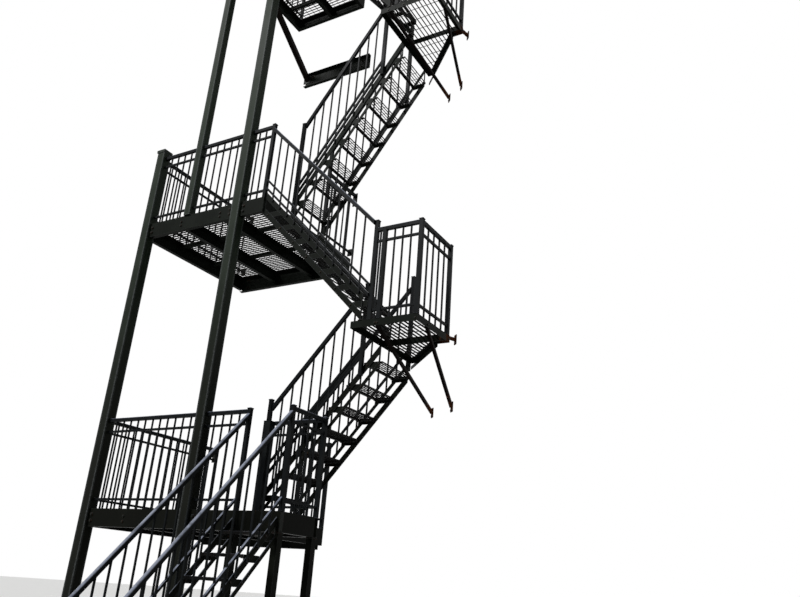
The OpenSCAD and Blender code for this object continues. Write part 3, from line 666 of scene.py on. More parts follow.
def paint_material(name, finish, dust_and_sheen, rust, edge, gloss, patch=2.0, damp=0.0, points=(),
                   ground_shade=0.0, rub_and_highlight=0.15, arris=0.003):
    """Weathered steel paint: film, dust, worn edges, rust, and painted shade, sheen and
    highlights.

    patch is the film's patches per metre, damp the rust near the ground, points the places
    with rust round them, ground_shade the painted shade that darkens the lower steel, and
    rub_and_highlight and arris the strength and the width of the rubbed edges, which are
    lightened as painted highlights too.
    """
    looks = bpy.context.scene.stair_paint
    paint, faded = (getattr(looks, f"{finish}_{state}") for state in ("colour", "faded"))
    made = bpy.data.materials.new(name)
    made.use_nodes = True
    made.diffuse_color = (*paint, 1)
    net = Net(made.node_tree)
    shader = made.node_tree.nodes["Principled BSDF"]
    film = net.group("Paint film", Paint=(*paint, 1), Faded=(*faded, 1), Patch_Scale=patch,
                     Fade=looks.fade)
    wear = net.group("Edge wear", Radius=arris, Amount=1.0)["Mask"]
    sky = net.group("Sky dust and sheen", Amount=dust_and_sheen)["Mask"]
    extra = net.times(wear, edge)
    if damp:
        wet = net.group("Damp zone", Level=0.05, Fade=0.5)["Mask"]
        extra = net.plus(extra, net.times(wet, damp))
    for point, reach in points:
        near = net.group("Near point", Point=point, Reach=reach)["Mask"]
        extra = net.plus(extra, net.times(near, 0.75))
    bloom = net.group("Rust bloom", Amount=rust, Scale=looks.rust_scale, Extra=extra)
    # Painted shade: the colour darkens towards the ground, fully below 2.5 m and fading out by
    # 6.5 m
    ground_shade_mask = net.group("Damp zone", Level=2.5, Fade=4.0)["Mask"]
    colour = net.mix(net.times(ground_shade_mask, ground_shade), film["Color"], (*looks.ground_shade_colour, 1))
    # Dust and painted sky sheen: pale blue on up-facing faces, partly dust and partly the sky's
    # reflection painted in
    colour = net.mix(sky, colour, (*looks.dust_and_sky_sheen_colour, 1))
    rim = net.mix(0.55, colour, (*looks.stain_colour, 1))
    colour = net.mix(net.times(bloom["Stain"], 0.6), colour, rim)
    # Rubbed edges: the colour lightens along the arrises, partly worn paint and partly a
    # painted highlight
    colour = net.mix(net.times(wear, rub_and_highlight), colour, (*looks.rubbed_edge_and_highlight_colour, 1))
    colour = net.mix(bloom["Mask"], colour, bloom["Color"])
    rough = net.blend_value(sky, film["Roughness"], 0.62)
    rough = net.blend_value(bloom["Mask"], rough, 0.9)
    height = net.plus(net.times(film["Height"], 0.5), bloom["Height"])
    bumped = net.node("ShaderNodeBump", Strength=0.75, Distance=0.0009, Height=height)
    net.feed(shader.inputs["Base Color"], colour)
    net.feed(shader.inputs["Roughness"], rough)
    net.feed(shader.inputs["Normal"], bumped.outputs[0])
    net.feed(shader.inputs["Coat Weight"], net.times(sky, looks.rain_gloss))
    shader.inputs["Coat Roughness"].default_value = 0.22
    shader.inputs["Specular IOR Level"].default_value = gloss


# ---------------------------------------------------------------- settings

def colour_setting(name, text, value):
    return FloatVectorProperty(name=name, description=text, default=value, size=3,
                               min=0, max=1, subtype="COLOR")


def share_setting(name, text, value):
    return FloatProperty(name=name, description=text, default=value, min=0, max=1,
                         subtype="FACTOR")


def length_setting(name, text, value):
    return FloatProperty(name=name, description=text, default=value, min=0, precision=4,
                         unit="LENGTH")


class StairPaintSettings(bpy.types.PropertyGroup):
    """Colours and wear of the stair's paint."""

    post_colour: colour_setting("Posts", "Paint of the posts", (0.0160, 0.0235, 0.0150))
    post_faded: colour_setting("Posts, faded", "Posts' paint where it has chalked",
                               (0.038, 0.052, 0.036))
    frame_colour: colour_setting("Framing", "Paint of beams, frames and stringers",
                                 (0.0055, 0.0072, 0.0052))
    frame_faded: colour_setting("Framing, faded", "Framing's paint where it has chalked",
                                (0.0145, 0.0180, 0.0140))
    brace_colour: colour_setting("Braces", "Paint of the braces, browned by thin rust",
                                 (0.0058, 0.0036, 0.0030))
    brace_faded: colour_setting("Braces, faded", "Braces' paint where it has chalked",
                                (0.0150, 0.0098, 0.0078))
    rail_colour: colour_setting("Rails", "Paint of rails and newels", (0.005, 0.006, 0.007))
    rail_faded: colour_setting("Rails, faded", "Rails' paint where it has chalked",
                               (0.0140, 0.0162, 0.0160))
    # The caps' lighter blue-grey is partly paint and partly a painted sky reflection on the
    # rails' tops
    hand_colour: colour_setting("Handrail caps", "Paint of the moulded caps",
                                (0.014, 0.016, 0.021))
    hand_faded: colour_setting("Handrail caps, faded", "Caps' paint where hands rub it",
                               (0.034, 0.038, 0.050))
    grating_colour: colour_setting("Gratings", "Paint of the gratings and treads",
                                   (0.006, 0.006, 0.006))
    grating_faded: colour_setting("Gratings, faded", "Gratings' paint where it has worn",
                                  (0.020, 0.017, 0.015))
    # Pale blue on what faces the sky: dust, and partly a painted sky reflection
    dust_and_sky_sheen_colour: colour_setting("Dust and sky sheen", "Bleached film on what faces the sky",
                                (0.215, 0.240, 0.310))
    # Painted shade: near-black that darkens the lower steel towards the ground
    ground_shade_colour: colour_setting("Ground shade", "Street grime on the lower steel",
                                (0.0040, 0.0036, 0.0026))
    stain_colour: colour_setting("Stain", "Rim of a rust patch", (0.026, 0.012, 0.008))
    # Light grey on the arrises: paint rubbed thin, and partly a painted highlight
    rubbed_edge_and_highlight_colour: colour_setting("Rubbed edge and highlight", "Paint polished by hands and shoes",
                                (0.140, 0.150, 0.155))
    fade: share_setting("Fade", "How far the paint has chalked", 0.6)
    rain_gloss: share_setting("Rain gloss", "Gloss of what faces the sky", 0.7)
    rust_scale: FloatProperty(name="Rust patches", description="Rust patches per metre",
                              default=16.0, min=1)


class StairSteelSettings(bpy.types.PropertyGroup):
    """Sizes of the treads' bars, rods, lugs, caps, fixings and welds."""

    floor_rod: length_setting("Floor rod", "Side of the twisted rods in the floors", 0.006)
    floor_rod_pitch: length_setting("Floor rod spacing", "Spacing of the floors' rods", 0.097)
    landing_rod_pitch: length_setting("Landing rod spacing", "Spacing of the landings' rods",
                                      0.165)
    tread_bar: length_setting("Tread bar", "Height of the treads' slim bearing bars", 0.014)
    tread_rod: length_setting("Tread rod", "Side of the twisted rods in the treads", 0.005)
    tread_rod_pitch: length_setting("Tread rod spacing", "Spacing of the treads' rods", 0.130)
    lug: length_setting("Lug", "Length of a raised lug on a tread's nosing", 0.022)
    lug_pitch: length_setting("Lug spacing", "Spacing of the lugs", 0.034)
    cap_width: length_setting("Cap width", "Width of the moulded cap on a rail", 0.042)
    cap_height: length_setting("Cap height", "Crown of the cap over the rail", 0.008)
    beam_bolt: length_setting("Beam bolt", "Width across flats of the beams' bolts", 0.030)
    anchor: length_setting("Anchor", "Width across flats of the anchors' nuts", 0.027)
    stringer_bolt: length_setting("Stringer bolt", "Width across flats on the stringers", 0.019)
    bead: length_setting("Weld", "Radius of a weld bead on a newel", 0.0042)
    small_bead: length_setting("Small weld", "Radius of a weld bead on a baluster", 0.0022)


class StairStageSettings(bpy.types.PropertyGroup):
    """Floor, light and camera."""

    floor_colour: colour_setting("Floor", "Colour of the studio floor", (0.86, 0.86, 0.85))
    floor_bounce: colour_setting("Floor bounce", "Floor as the object's shaded side sees it",
                                 (0.30, 0.30, 0.29))
    key: FloatProperty(name="Key light", description="Strength of the soft key", default=2.6,
                       min=0)
    fill: FloatProperty(name="Fill light", description="Strength of the sky's fill",
                        default=0.32, min=0)
    lens: FloatProperty(name="Lens", description="Focal length", default=33.09, min=1,
                        unit="CAMERA")


# ---------------------------------------------------------------- operators

class STAIR_OT_paint(bpy.types.Operator):
    """Build the weathered paints and lay them on the steel members"""

    bl_idname = "stair.paint"
    bl_label = "Paint the Steel"

    def execute(self, context):
        for build in (build_paint_film, build_rust_bloom, build_edge_wear, build_sky_dust_and_sheen,
                      build_damp_zone, build_near_point):
            build()
        for name, film in PAINTS.items():
            paint_material(name, **film)
        for name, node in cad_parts.items():
            label = next(label for part, label in NODE_PAINTS if part in name)
            node.data.materials.clear()
            node.data.materials.append(bpy.data.materials[label])
        return {"FINISHED"}


def twisted_rod(form, start, end, side):
    """Square rod that turns half round every 50 mm between two points."""
    half_turn, facet = 0.05, 0.0085
    length = (end - start).length
    count = max(4, int(length / facet))
    section = square_ring(0, 0, 0, side / 2)
    form.sweep([start.lerp(end, i / count) for i in range(count + 1)],
               [corner[:2] for corner in section],
               [i * length / count / half_turn * math.pi for i in range(count + 1)])


class STAIR_OT_floor_rods(bpy.types.Operator):
    """Thread the twisted cross rods through the floors' and landings' bearing bars"""

    bl_idname = "stair.floor_rods"
    bl_label = "Floor Rods"

    def execute(self, context):
        s = context.scene.stair_steel
        form = Form()
        # Gratings with the bays between their joists; the porch's small one has one bay
        decks = [(lo, hi, 1 if hi.y < 1 else bays)
                 for node, bays in (("porch_deck", 3), ("balcony_1_deck", 3),
                                    ("balcony_2_deck", 2))
                 for lo, hi in solids(node)]
        if len(decks) != 4:
            raise RuntimeError("expected four floor gratings")
        sink, frame_in = s.floor_rod * 0.55, 0.014
        for lo, hi, bays in decks:
            bay = (hi.x - lo.x - BAR_T) / bays
            count = round(bay / s.floor_rod_pitch)
            z = hi.z - sink
            for i in range(bays * count + 1):
                x = lo.x + BAR_T / 2 + bay * i / count
                if i % count == 0:
                    continue
                front = max([half for post, half in POSTS if abs(x - post) < half + 0.004],
                            default=BEAM_HALF)
                twisted_rod(form, Vector((x, front, z)), Vector((x, hi.y - BAR_T / 2, z)),
                            s.floor_rod)
        for node in ("landing_1_deck", "landing_2_deck"):
            lo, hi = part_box(node)
            z = hi.z - sink
            count = 2 * round((hi.y - lo.y) / 2 / s.landing_rod_pitch)
            for i in range(1, count):
                y = lo.y + (hi.y - lo.y) * i / count
                end = min(hi.x, SLANT_X - max(0, y - SLANT_Y)) if y > SLANT_Y else hi.x
                if i != count // 2:
                    twisted_rod(form, Vector((lo.x + BAR_T / 2, y, z)),
                                Vector((end - frame_in, y, z)), s.floor_rod)
        form.piece("floor_cross_rods", "grating_paint", "Grating paint")
        return {"FINISHED"}


class STAIR_OT_treads(bpy.types.Operator):
    """Make the treads with the slim bearing bars that let the light through"""

    bl_idname = "stair.treads"
    bl_label = "Grating Treads"

    def execute(self, context):
        slim = context.scene.stair_steel.tread_bar
        for node, climb, *_ in FLIGHTS:
            form = Form()
            across = sideways(climb)
            for nose, width, depth in tread_places(node, climb):
                mid = nose + across * width / 2

                def bar(run, side, length, wide, high):
                    form.plate(mid + climb * run + across * side - UP * high / 2,
                               (length, wide, high), x_axis=climb, edge=0.0016)

                bar(NOSE_BAR / 2, 0, NOSE_BAR, width, GRATING_H)
                for side in (-1, 1):
                    bar((NOSE_BAR + depth) / 2, side * (width - BAR_T) / 2,
                        depth - NOSE_BAR, BAR_T, GRATING_H)
                cell = (depth - NOSE_BAR) / TREAD_BARS
                for i in range(1, TREAD_BARS + 1):
                    bar(NOSE_BAR + cell * i - BAR_T / 2, 0, BAR_T, width - BAR_T,
                        slim if i < TREAD_BARS else BAR_D)
            made = form.piece(node.replace("_treads", "_grating_treads"), "tread_paint",
                              "Tread paint")
            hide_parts(node)
        return {"FINISHED"}


class STAIR_OT_tread_details(bpy.types.Operator):
    """Add the treads' cross rods and the raised lugs along their nosings"""

    bl_idname = "stair.tread_details"
    bl_label = "Tread Rods and Lugs"

    def execute(self, context):
        s = context.scene.stair_steel
        rod_start, margin = 0.030, 0.02
        lug_line, lug_lean, lug_w, lug_h, lug_lift = 0.016, 0.7, 0.006, 0.0036, 0.0008
        rods, lugs = Form(), Form()
        for node, climb, *_ in FLIGHTS:
            across = sideways(climb)
            for nose, width, depth in tread_places(node, climb):
                count = round(width / s.tread_rod_pitch)
                for i in range(1, count):
                    at = nose + across * (width * i / count) - UP * s.tread_rod * 0.55
                    twisted_rod(rods, at + climb * rod_start,
                                at + climb * (depth - BAR_T / 2), s.tread_rod)
                count = int((width - margin) / s.lug_pitch)
                first = (width - (count - 1) * s.lug_pitch) / 2
                for i in range(count):
                    at = nose + across * (first + i * s.lug_pitch) + climb * lug_line
                    lean = lug_lean if i % 2 else -lug_lean
                    lugs.plate(at + UP * lug_lift, (s.lug, lug_w, lug_h),
                               x_axis=climb + across * lean, edge=0.0014)
        rods.piece("tread_cross_rods", "tread_paint", "Tread paint")
        lugs.piece("tread_nosing_lugs", "tread_paint", "Tread paint")
        return {"FINISHED"}


class STAIR_OT_post_fixings(bpy.types.Operator):
    """Bolt the posts' and legs' base plates down and weld the posts to them"""

    bl_idname = "stair.post_fixings"
    bl_label = "Base Plate Anchors"

    def execute(self, context):
        s = context.scene.stair_steel
        form = Form()
        nut, small = bolt_form(s.anchor, True), bolt_form(s.anchor * 0.5, True)
        rng = np.random.default_rng(11)
        for x in (0, RIGHT_POST):
            for at in square_ring(x, 0, BASE_T, ANCHOR_OUT):
                form.put(nut, at, UP)
            form.bead(square_ring(x, 0, BASE_T, POST_HALF), s.bead * 1.3, 0.006, rng)
        for lo, hi in solids("porch_legs"):
            x, y = (lo.x + hi.x) / 2, (lo.y + hi.y) / 2
            for at in square_ring(x, y, BASE_T, (hi.x - lo.x) / 2 - LEG_ANCHOR_IN):
                form.put(small, at, UP)
            for z in (BASE_T, hi.z):
                form.bead(square_ring(x, y, z, LEG_HALF), s.bead, 0.005, rng)
        form.piece("base_anchors", "post_paint", "Fixing paint")
        return {"FINISHED"}


def front_spans():
    """Front channels: floor, left end, right end."""
    left = RIGHT_POST - POST_HALF
    right = RIGHT_POST + POST_HALF
    return [(PORCH, POST_HALF, left), (PORCH, right, BAY_X),
            (BALCONY_1, POST_HALF, left), (BALCONY_1, right, BALCONY_W),
            (BALCONY_2, UPPER_X + UPPER_HALF, left), (BALCONY_2, right, BALCONY_W)]


class STAIR_OT_beam_fixings(bpy.types.Operator):
    """Bolt the front channels to clip angles on the posts and to the joists"""

    bl_idname = "stair.beam_fixings"
    bl_label = "Beam Bolts and Clips"

    def execute(self, context):
        s = context.scene.stair_steel
        form = Form()
        head, nut = bolt_form(s.beam_bolt, False), bolt_form(s.beam_bolt, True)
        small = bolt_form(s.beam_bolt * 0.8, False)
        inner = WEB_Y + WEB_T
        clip_mid, clip_drop, clip_bolt = 0.048, 0.104, 0.036
        clip_leg, clip_ear = (0.092, PLATE_T, 0.130), (0.009, 0.066, 0.130)
        joist_drop, joist_bolt, rear_bolt = 0.112, 0.028, 0.045
        for floor, x0, x1 in front_spans():
            ends = [(x0, 1)] + [(x1, -1)] * (abs(x1 - (RIGHT_POST - POST_HALF)) < 0.01)
            for x, side in ends:
                at = Vector((x + side * clip_mid, 0, floor - clip_drop))
                form.plate(at + Vector((0, inner + PLATE_T / 2, 0)), clip_leg)
                form.plate(Vector((x + side * 0.005, inner + 0.035, at.z)), clip_ear)
                for dz in (-clip_bolt, clip_bolt):
                    form.put(head, (at.x, WEB_Y, at.z + dz), STREET)
                    form.put(nut, (at.x + side * 0.006, inner + PLATE_T, at.z + dz), BACK)
        for floor, xs in JOISTS.items():
            for x in xs:
                form.plate(Vector((x - 0.026, inner + PLATE_T / 2, floor - joist_drop)),
                           (0.050, PLATE_T, 0.100))
                for dz in (-joist_bolt, joist_bolt):
                    for y, way in ((WEB_Y, STREET), (inner + PLATE_T, BACK)):
                        form.put(small, (x - 0.028, y, floor - joist_drop + dz), way)
        # Plates that close the channels' right ends, and clips in the rear corners
        mid, high = -BEAM_H / 2, BEAM_H - 0.016
        for floor, x in ((PORCH, BAY_X), (BALCONY_1, BALCONY_W), (BALCONY_2, BALCONY_W)):
            form.plate((x - PLATE_T / 2, 0.004, floor + mid), (PLATE_T, 0.049, high))
        for floor, x0, y in ((PORCH, 0, WALL), (BALCONY_1, 0, WALL),
                             (BALCONY_2, UPPER_X, UPPER_D)):
            for x in (x0 + 0.004, BALCONY_W - 0.0325):
                form.plate((x, y - PLATE_T / 2, floor + mid), (0.049, PLATE_T, high))
                if y == UPPER_D:
                    for dz in (-rear_bolt, rear_bolt):
                        form.put(small, (x, y, floor + mid + dz), BACK)
        form.piece("beam_bolts_and_clips", "frame_paint", "Fixing paint")
        return {"FINISHED"}


class STAIR_OT_wall_fixings(bpy.types.Operator):
    """Anchor channels, rail ends and braces to the wall, and bolt the landings' frames"""

    bl_idname = "stair.wall_fixings"
    bl_label = "Wall Anchors"

    def execute(self, context):
        s = context.scene.stair_steel
        form = Form()
        nut = bolt_form(s.anchor, True)
        small = bolt_form(s.anchor * 0.7, False)
        end_in, washer, washer_t, foot_bolt = 0.15, 0.058, 0.006, 0.040
        for top, x0 in WALL_CHANNELS:
            for x in (x0 + end_in, BALCONY_W - end_in):
                for dz in (-WALL_ANCHOR_HALF, WALL_ANCHOR_HALF):
                    at = Vector((x, WALL - WEB_T, top - WALL_ANCHOR_MID + dz))
                    form.plate(at - BACK * washer_t / 2, (washer, washer_t, washer))
                    form.put(nut, at - BACK * washer_t, STREET)
        for x, floor in WALL_ENDS:
            for mid, height, bolt in ((RAIL_H - 0.085, 0.220, 0.045), (0.107, 0.110, 0.036)):
                at = Vector((x, WALL - PLATE_T / 2, floor + mid))
                form.plate(at, (0.076, PLATE_T, height))
                for dz in (-bolt, bolt):
                    form.put(small, at + Vector((0.027 if x < 1 else -0.027, -PLATE_T / 2, dz)),
                             STREET)
        form.plate(KNEE_FOOT, (0.150, PLATE_T, 0.150))
        form.plate(KNEE_HEAD, (0.104, 0.230, PLATE_T))
        face = PLATE_T / 2
        foot_x, foot_z, head_x, head_y, head_shift = 0.057, 0.052, 0.01995, 0.0936, -0.014
        for a, b in CORNERS:
            form.put(small, KNEE_FOOT + Vector((a * foot_x, -face, b * foot_z)), STREET)
            form.put(small, KNEE_HEAD + Vector((a * head_x + head_shift, b * head_y, -face)),
                     DOWN)
        out = Vector((-1, -1, 0)).normalized()
        for foot in BRACE_FEET:
            for dz in (-foot_bolt, foot_bolt):
                form.put(small, Vector(foot) + UP * dz, out)
        for z, head in BRACE_HEADS:
            for x, y, way in ((head, 0, STREET), *LANDING_BOLTS):
                form.put(small, (x, y, z - LANDING_BOLT_DROP), way)
        form.piece("wall_anchors", "frame_paint", "Fixing paint")
        return {"FINISHED"}


class STAIR_OT_stringer_fixings(bpy.types.Operator):
    """Bolt the tread angles to the stringer bars, the treads to the angles, and the feet"""

    bl_idname = "stair.stringer_fixings"
    bl_label = "Stringer Bolts"

    def execute(self, context):
        s = context.scene.stair_steel
        form = Form()
        head = bolt_form(s.stringer_bolt, False)
        nut = bolt_form(s.stringer_bolt * 0.8, True)
        foot_bolt = bolt_form(s.stringer_bolt, True)
        margin, tread_bolt_in = 0.008, 0.013
        for node, climb, lift, gap, lead, floor, foot in FLIGHTS:
            across = sideways(climb)
            rise, going = rise_and_going(node, climb)
            for nose, width, _ in tread_places(node, climb):
                for drop in (lift, lift - gap):
                    run = lead - (ANGLE_MID + drop) * going / rise
                    if not margin < run < going + NOSING - margin:
                        continue
                    at = nose + climb * run - UP * ANGLE_MID
                    form.put(head, at - across * STRINGER_SET, -across)
                    form.put(head, at + across * (width + STRINGER_SET), across)
                for run in (0.045, going * 0.62):
                    for w in (tread_bolt_in, width - tread_bolt_in):
                        at = nose + climb * run + across * w - UP * (GRATING_H + BAR_T)
                        form.put(nut, at, DOWN)
            # Angle that holds each lower end of the stringers to the floor
            lo, hi = solids(node)[0]
            out = STRINGER_SET - STRINGER_W / 2
            along = Vector((abs(climb.x), abs(climb.y), 0))
            for bar, side in ((lo.dot(across) - out, 1), (hi.dot(across) + out, -1)):
                at = along * foot + across * bar + UP * floor + climb * STRINGER_W / 2
                for offset, height, size in ((0.020, 0.004, (0.052, 0.070, PLATE_T)),
                                             (0.009, 0.030, (0.052, 0.006, 0.060))):
                    form.plate(at + across * side * offset + UP * height, size, x_axis=climb)
                form.put(foot_bolt, at + across * side * 0.038 + UP * PLATE_T, UP)
                form.put(nut, at + across * side * 0.012 + UP * 0.040, across * side)
        form.piece("stringer_bolts", "tread_paint", "Fixing paint")
        return {"FINISHED"}


class STAIR_OT_entry_guards(bpy.types.Operator):
    """Make the entry steps' guards with their handrails near the newels' tops"""

    bl_idname = "stair.entry_guards"
    bl_label = "Entry Guards"

    def execute(self, context):
        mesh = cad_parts["entry_handrails"].data
        points, place = np.unique(np.round(mesh_points(mesh), 5), axis=0, return_inverse=True)
        place = place.reshape(-1)
        line, foot = flight_line(0), FLIGHTS[0][-1]
        nosing = np.array([line(y - foot, 0).z for y in points[:, 1]])
        upper = points[:, 2] - nosing > ENTRY_GUARD_LOW / 2
        points[upper, 2] += ENTRY_GUARD_H - ENTRY_GUARD_LOW
        faces = [tuple(int(place[i]) for i in face.vertices) for face in mesh.polygons]
        form = Form()
        form.add(points, [face for face in faces if len(set(face)) == len(face)])
        made = form.piece("entry_guards", "rail_paint", "Rail paint")
        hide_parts("entry_handrails")
        return {"FINISHED"}


def newel_tops():
    """Centre of the top of every newel that stands over its rails."""
    level = [Vector((x, y, z + FOOT_NEWELS.get((x, y), RAIL_H + NEWEL_TIP)))
             for x, y, z, half in NEWELS if half == NEWEL and x != UNCAPPED_X]
    return level + [flight_line(index)(run, plane, height)
                    for index, plane, run, height in SLOPE_NEWELS]


class STAIR_OT_rail_caps(bpy.types.Operator):
    """Lay the moulded caps on the handrails and guards, and cap the newels"""

    bl_idname = "stair.rail_caps"
    bl_label = "Rail and Newel Caps"

    def execute(self, context):
        s = context.scene.stair_steel
        w, h = s.cap_width / 2, s.cap_height
        half = [(w * 0.94, -0.007), (w, -0.004), (w, 0.001), (w * 0.86, h * 0.55),
                (w * 0.5, h * 0.9)]
        section = [(-x, y) for x, y in half] + [(0, h)] + half[::-1]
        rails = Form()
        for index, plane, height, x0, x1 in HANDRAILS:
            line = flight_line(index)
            rails.sweep([line(x0 + (x1 - x0) * t, plane, height) for t in (0, 0.5, 1)], section)
        for x0, y0, x1, y1, z, _ in LEVEL_RAILS:
            a, b = Vector((x0, y0, z + RAIL_H)), Vector((x1, y1, z + RAIL_H))
            rails.sweep([a, a.lerp(b, 0.5), b], section)
        rails.piece("rail_caps", "rail_paint", "Handrail paint")
        newels = Form()
        r = NEWEL * 1.22 * math.sqrt(2)
        cap = lathe([(r * 0.92, 0), (r, 0.002), (r, 0.007), (r * 0.93, 0.009),
                     (r * 0.3, 0.0165), (r * 0.08, 0.018)], 4, math.pi / 4)
        for top in newel_tops():
            newels.add(cap[0] + np.array(top), cap[1])
        newels.piece("newel_caps", "rail_paint", "Rail paint", 20)
        return {"FINISHED"}


def rail_balusters(x0, y0, x1, y1, given):
    """Points of a level rail's balusters."""
    length = math.hypot(x1 - x0, y1 - y0)
    count = given or max(1, round(length / BALUSTER_PITCH) - 1)
    share = [i / (count + 1) for i in range(1, count + 1)]
    return [(x0 + (x1 - x0) * t, y0 + (y1 - y0) * t) for t in share]


class STAIR_OT_welds(bpy.types.Operator):
    """Run the weld beads round newels, rail ends and balusters"""

    bl_idname = "stair.welds"
    bl_label = "Weld Beads"

    def execute(self, context):
        s = context.scene.stair_steel
        rng = np.random.default_rng(7)
        big, small = Form(), Form()
        ends = [(RAIL_H - RAIL_HALF, RAIL_HALF), *[(mid, SUBRAIL_HALF) for mid in SUBRAILS]]
        levels = [RAIL_H - 2 * RAIL_HALF, *[mid + side * SUBRAIL_HALF
                                            for mid in SUBRAILS for side in (-1, 1)]]

        def baluster_weld(x, y, z):
            small.bead(square_ring(x, y, z, BALUSTER_HALF), s.small_bead, WELD_RIPPLE, rng)

        for x, y, z, half in NEWELS:
            big.bead(square_ring(x, y, z, half), s.bead, WELD_RIPPLE, rng)
        for x0, y0, x1, y1, z, given in LEVEL_RAILS:
            along = Vector((x1 - x0, y1 - y0, 0)).normalized()
            side = Vector((-along.y, along.x, 0))
            for x, y, inward in ((x0, y0, 1), (x1, y1, -1)):
                at = Vector((x, y, z)) + along * inward * END_BEAD_OFF
                for mid, half in ends:
                    ring = [at + UP * mid + side * (a * half) + UP * (b * half)
                            for a, b in CORNERS]
                    big.bead(ring, s.bead * 0.7, WELD_RIPPLE, rng)
            for x, y in rail_balusters(x0, y0, x1, y1, given):
                for level in levels:
                    baluster_weld(x, y, z + level)
        for index, plane, height, x0, x1 in HANDRAILS:
            line, lift = flight_line(index), FLIGHTS[index][2]
            count = round((x1 - x0) / BALUSTER_PITCH)
            for i in range(1, count):
                for level in (height - HANDRAIL_UNDER, lift + BAR_OVER):
                    baluster_weld(*line(x0 + (x1 - x0) * i / count, plane, level))
        big.piece("newel_and_rail_welds", "rail_paint", "Rail paint", 50)
        small.piece("baluster_welds", "rail_paint", "Rail paint", 50)
        return {"FINISHED"}


def make_floor(scene, s):
    """Pale floor: white to the camera and in gloss, dimmer to the object's shaded side."""
    mesh = bpy.data.meshes.new("studio_floor")
    work = bmesh.new()
    bmesh.ops.create_circle(work, cap_ends=True, segments=96, radius=FLOOR_R)
    work.to_mesh(mesh)
    work.free()
    floor = bpy.data.objects.new("studio_floor", mesh)
    scene.collection.objects.link(floor)
    floor.location = (2, 0, -0.002)
    made = bpy.data.materials.new("Studio floor")
    made.use_nodes = True
    net = Net(made.node_tree)
    shader = made.node_tree.nodes["Principled BSDF"]
    seen = net.node("ShaderNodeLightPath").outputs
    direct = net.math("MAXIMUM", seen["Is Camera Ray"], seen["Is Glossy Ray"])
    mottle = net.noise(net.place(), 0.6, 4.0)
    pale = net.mix(mottle, (*[c * 0.97 for c in s.floor_colour], 1), (*s.floor_colour, 1))
    net.feed(shader.inputs["Base Color"], net.mix(direct, (*s.floor_bounce, 1), pale))
    shader.inputs["Roughness"].default_value = 0.9
    shader.inputs["Specular IOR Level"].default_value = 0.1
    mesh.materials.append(made)


def make_light(scene, s):
    """White surroundings with a soft fill, and one soft key lamp."""
    scene.world = bpy.data.worlds.new("Studio")
    scene.world.use_nodes = True
    net = Net(scene.world.node_tree)
    back = scene.world.node_tree.nodes["Background"]
    seen = net.node("ShaderNodeLightPath").outputs
    shown = net.math("MAXIMUM", seen["Is Camera Ray"],
                     net.math("MAXIMUM", seen["Is Glossy Ray"], seen["Is Transmission Ray"]))
    net.feed(back.inputs["Strength"], net.blend_value(shown, s.fill, 1.0))
    back.inputs["Color"].default_value = (1, 1, 1, 1)
    lamp = bpy.data.lights.new("Soft key", "SUN")
    lamp.energy, lamp.angle = s.key, KEY_ANGLE
    key = bpy.data.objects.new("Soft key", lamp)
    scene.collection.objects.link(key)
    key.rotation_mode = "QUATERNION"
    key.rotation_quaternion = KEY_WAY.to_track_quat("-Z", "Y")


def make_camera(scene, s):
    """Camera on the street, at the photograph's viewing angle."""
    yaw, pitch, roll = CAMERA_TURN
    ahead = Vector((-math.sin(yaw) * math.cos(pitch), math.cos(yaw) * math.cos(pitch),
                    math.sin(pitch)))
    level = Vector((math.cos(yaw), math.sin(yaw), 0))
    upright = level.cross(ahead)
    across = level * math.cos(roll) + upright * math.sin(roll)
    upright = upright * math.cos(roll) - level * math.sin(roll)
    data = bpy.data.cameras.new("Street camera")
    data.sensor_width, data.lens = SENSOR_W, s.lens
    data.clip_start, data.clip_end = 0.1, 400
    camera = bpy.data.objects.new("Street camera", data)
    scene.collection.objects.link(camera)
    turn = Matrix((across, upright, -ahead)).transposed().to_4x4()
    camera.matrix_world = Matrix.Translation(CAMERA_AT) @ turn
    scene.camera = camera


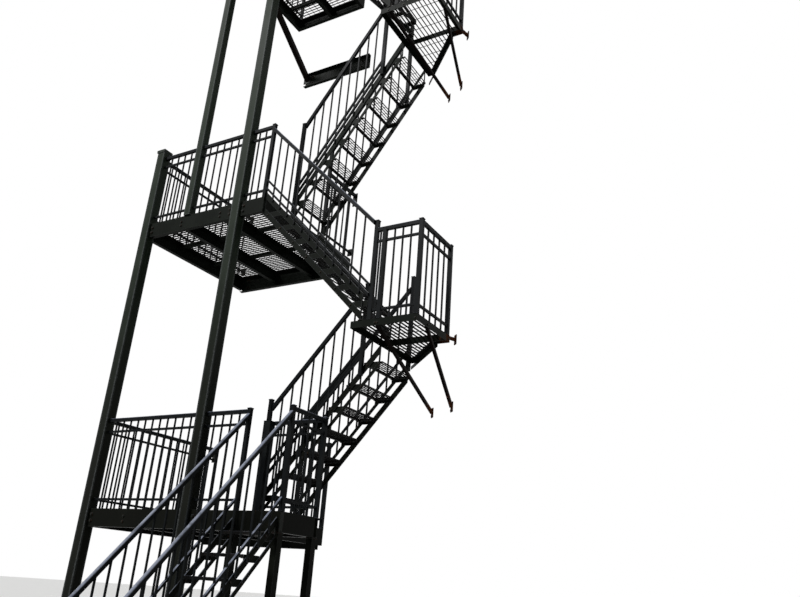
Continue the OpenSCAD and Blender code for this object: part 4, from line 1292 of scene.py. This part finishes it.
class STAIR_OT_stage(bpy.types.Operator):
    """Set up the pale floor, the soft light and the camera"""

    bl_idname = "stair.stage"
    bl_label = "Studio and Camera"

    def execute(self, context):
        for make in (make_floor, make_light, make_camera):
            make(context.scene, context.scene.stair_stage)
        context.scene.view_settings.view_transform = "Standard"
        return {"FINISHED"}


OPERATORS = (STAIR_OT_paint, STAIR_OT_floor_rods, STAIR_OT_treads, STAIR_OT_tread_details,
             STAIR_OT_post_fixings, STAIR_OT_beam_fixings, STAIR_OT_wall_fixings,
             STAIR_OT_stringer_fixings, STAIR_OT_entry_guards, STAIR_OT_rail_caps,
             STAIR_OT_welds, STAIR_OT_stage)
SETTINGS = {"stair_paint": StairPaintSettings, "stair_steel": StairSteelSettings,
            "stair_stage": StairStageSettings}


class STAIR_PT_panel(bpy.types.Panel):
    """Lists the stair's pieces and their settings"""

    bl_label = "Fire Escape Stair"
    bl_idname = "STAIR_PT_panel"
    bl_space_type = "VIEW_3D"
    bl_region_type = "UI"
    bl_category = "Fire Escape"

    def draw(self, context):
        for operator in OPERATORS:
            self.layout.operator(operator.bl_idname)
        for attribute in SETTINGS:
            settings = getattr(context.scene, attribute)
            box = self.layout.box()
            for name in settings.bl_rna.properties.keys():
                if name not in ("rna_type", "name"):
                    box.prop(settings, name)


CLASSES = (*SETTINGS.values(), *OPERATORS, STAIR_PT_panel)


def register():
    for cls in CLASSES:
        bpy.utils.register_class(cls)
    for attribute, cls in SETTINGS.items():
        setattr(bpy.types.Scene, attribute, PointerProperty(type=cls))


def unregister():
    for attribute in SETTINGS:
        delattr(bpy.types.Scene, attribute)
    for cls in reversed(CLASSES):
        bpy.utils.unregister_class(cls)


def main():
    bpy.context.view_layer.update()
    register()
    bpy.ops.stair.paint()
    bpy.ops.stair.floor_rods()
    bpy.ops.stair.treads()
    bpy.ops.stair.tread_details()
    bpy.ops.stair.post_fixings()
    bpy.ops.stair.beam_fixings()
    bpy.ops.stair.wall_fixings()
    bpy.ops.stair.stringer_fixings()
    bpy.ops.stair.entry_guards()
    bpy.ops.stair.rail_caps()
    bpy.ops.stair.welds()
    bpy.ops.stair.stage()


if __name__ == "__main__":
    main()
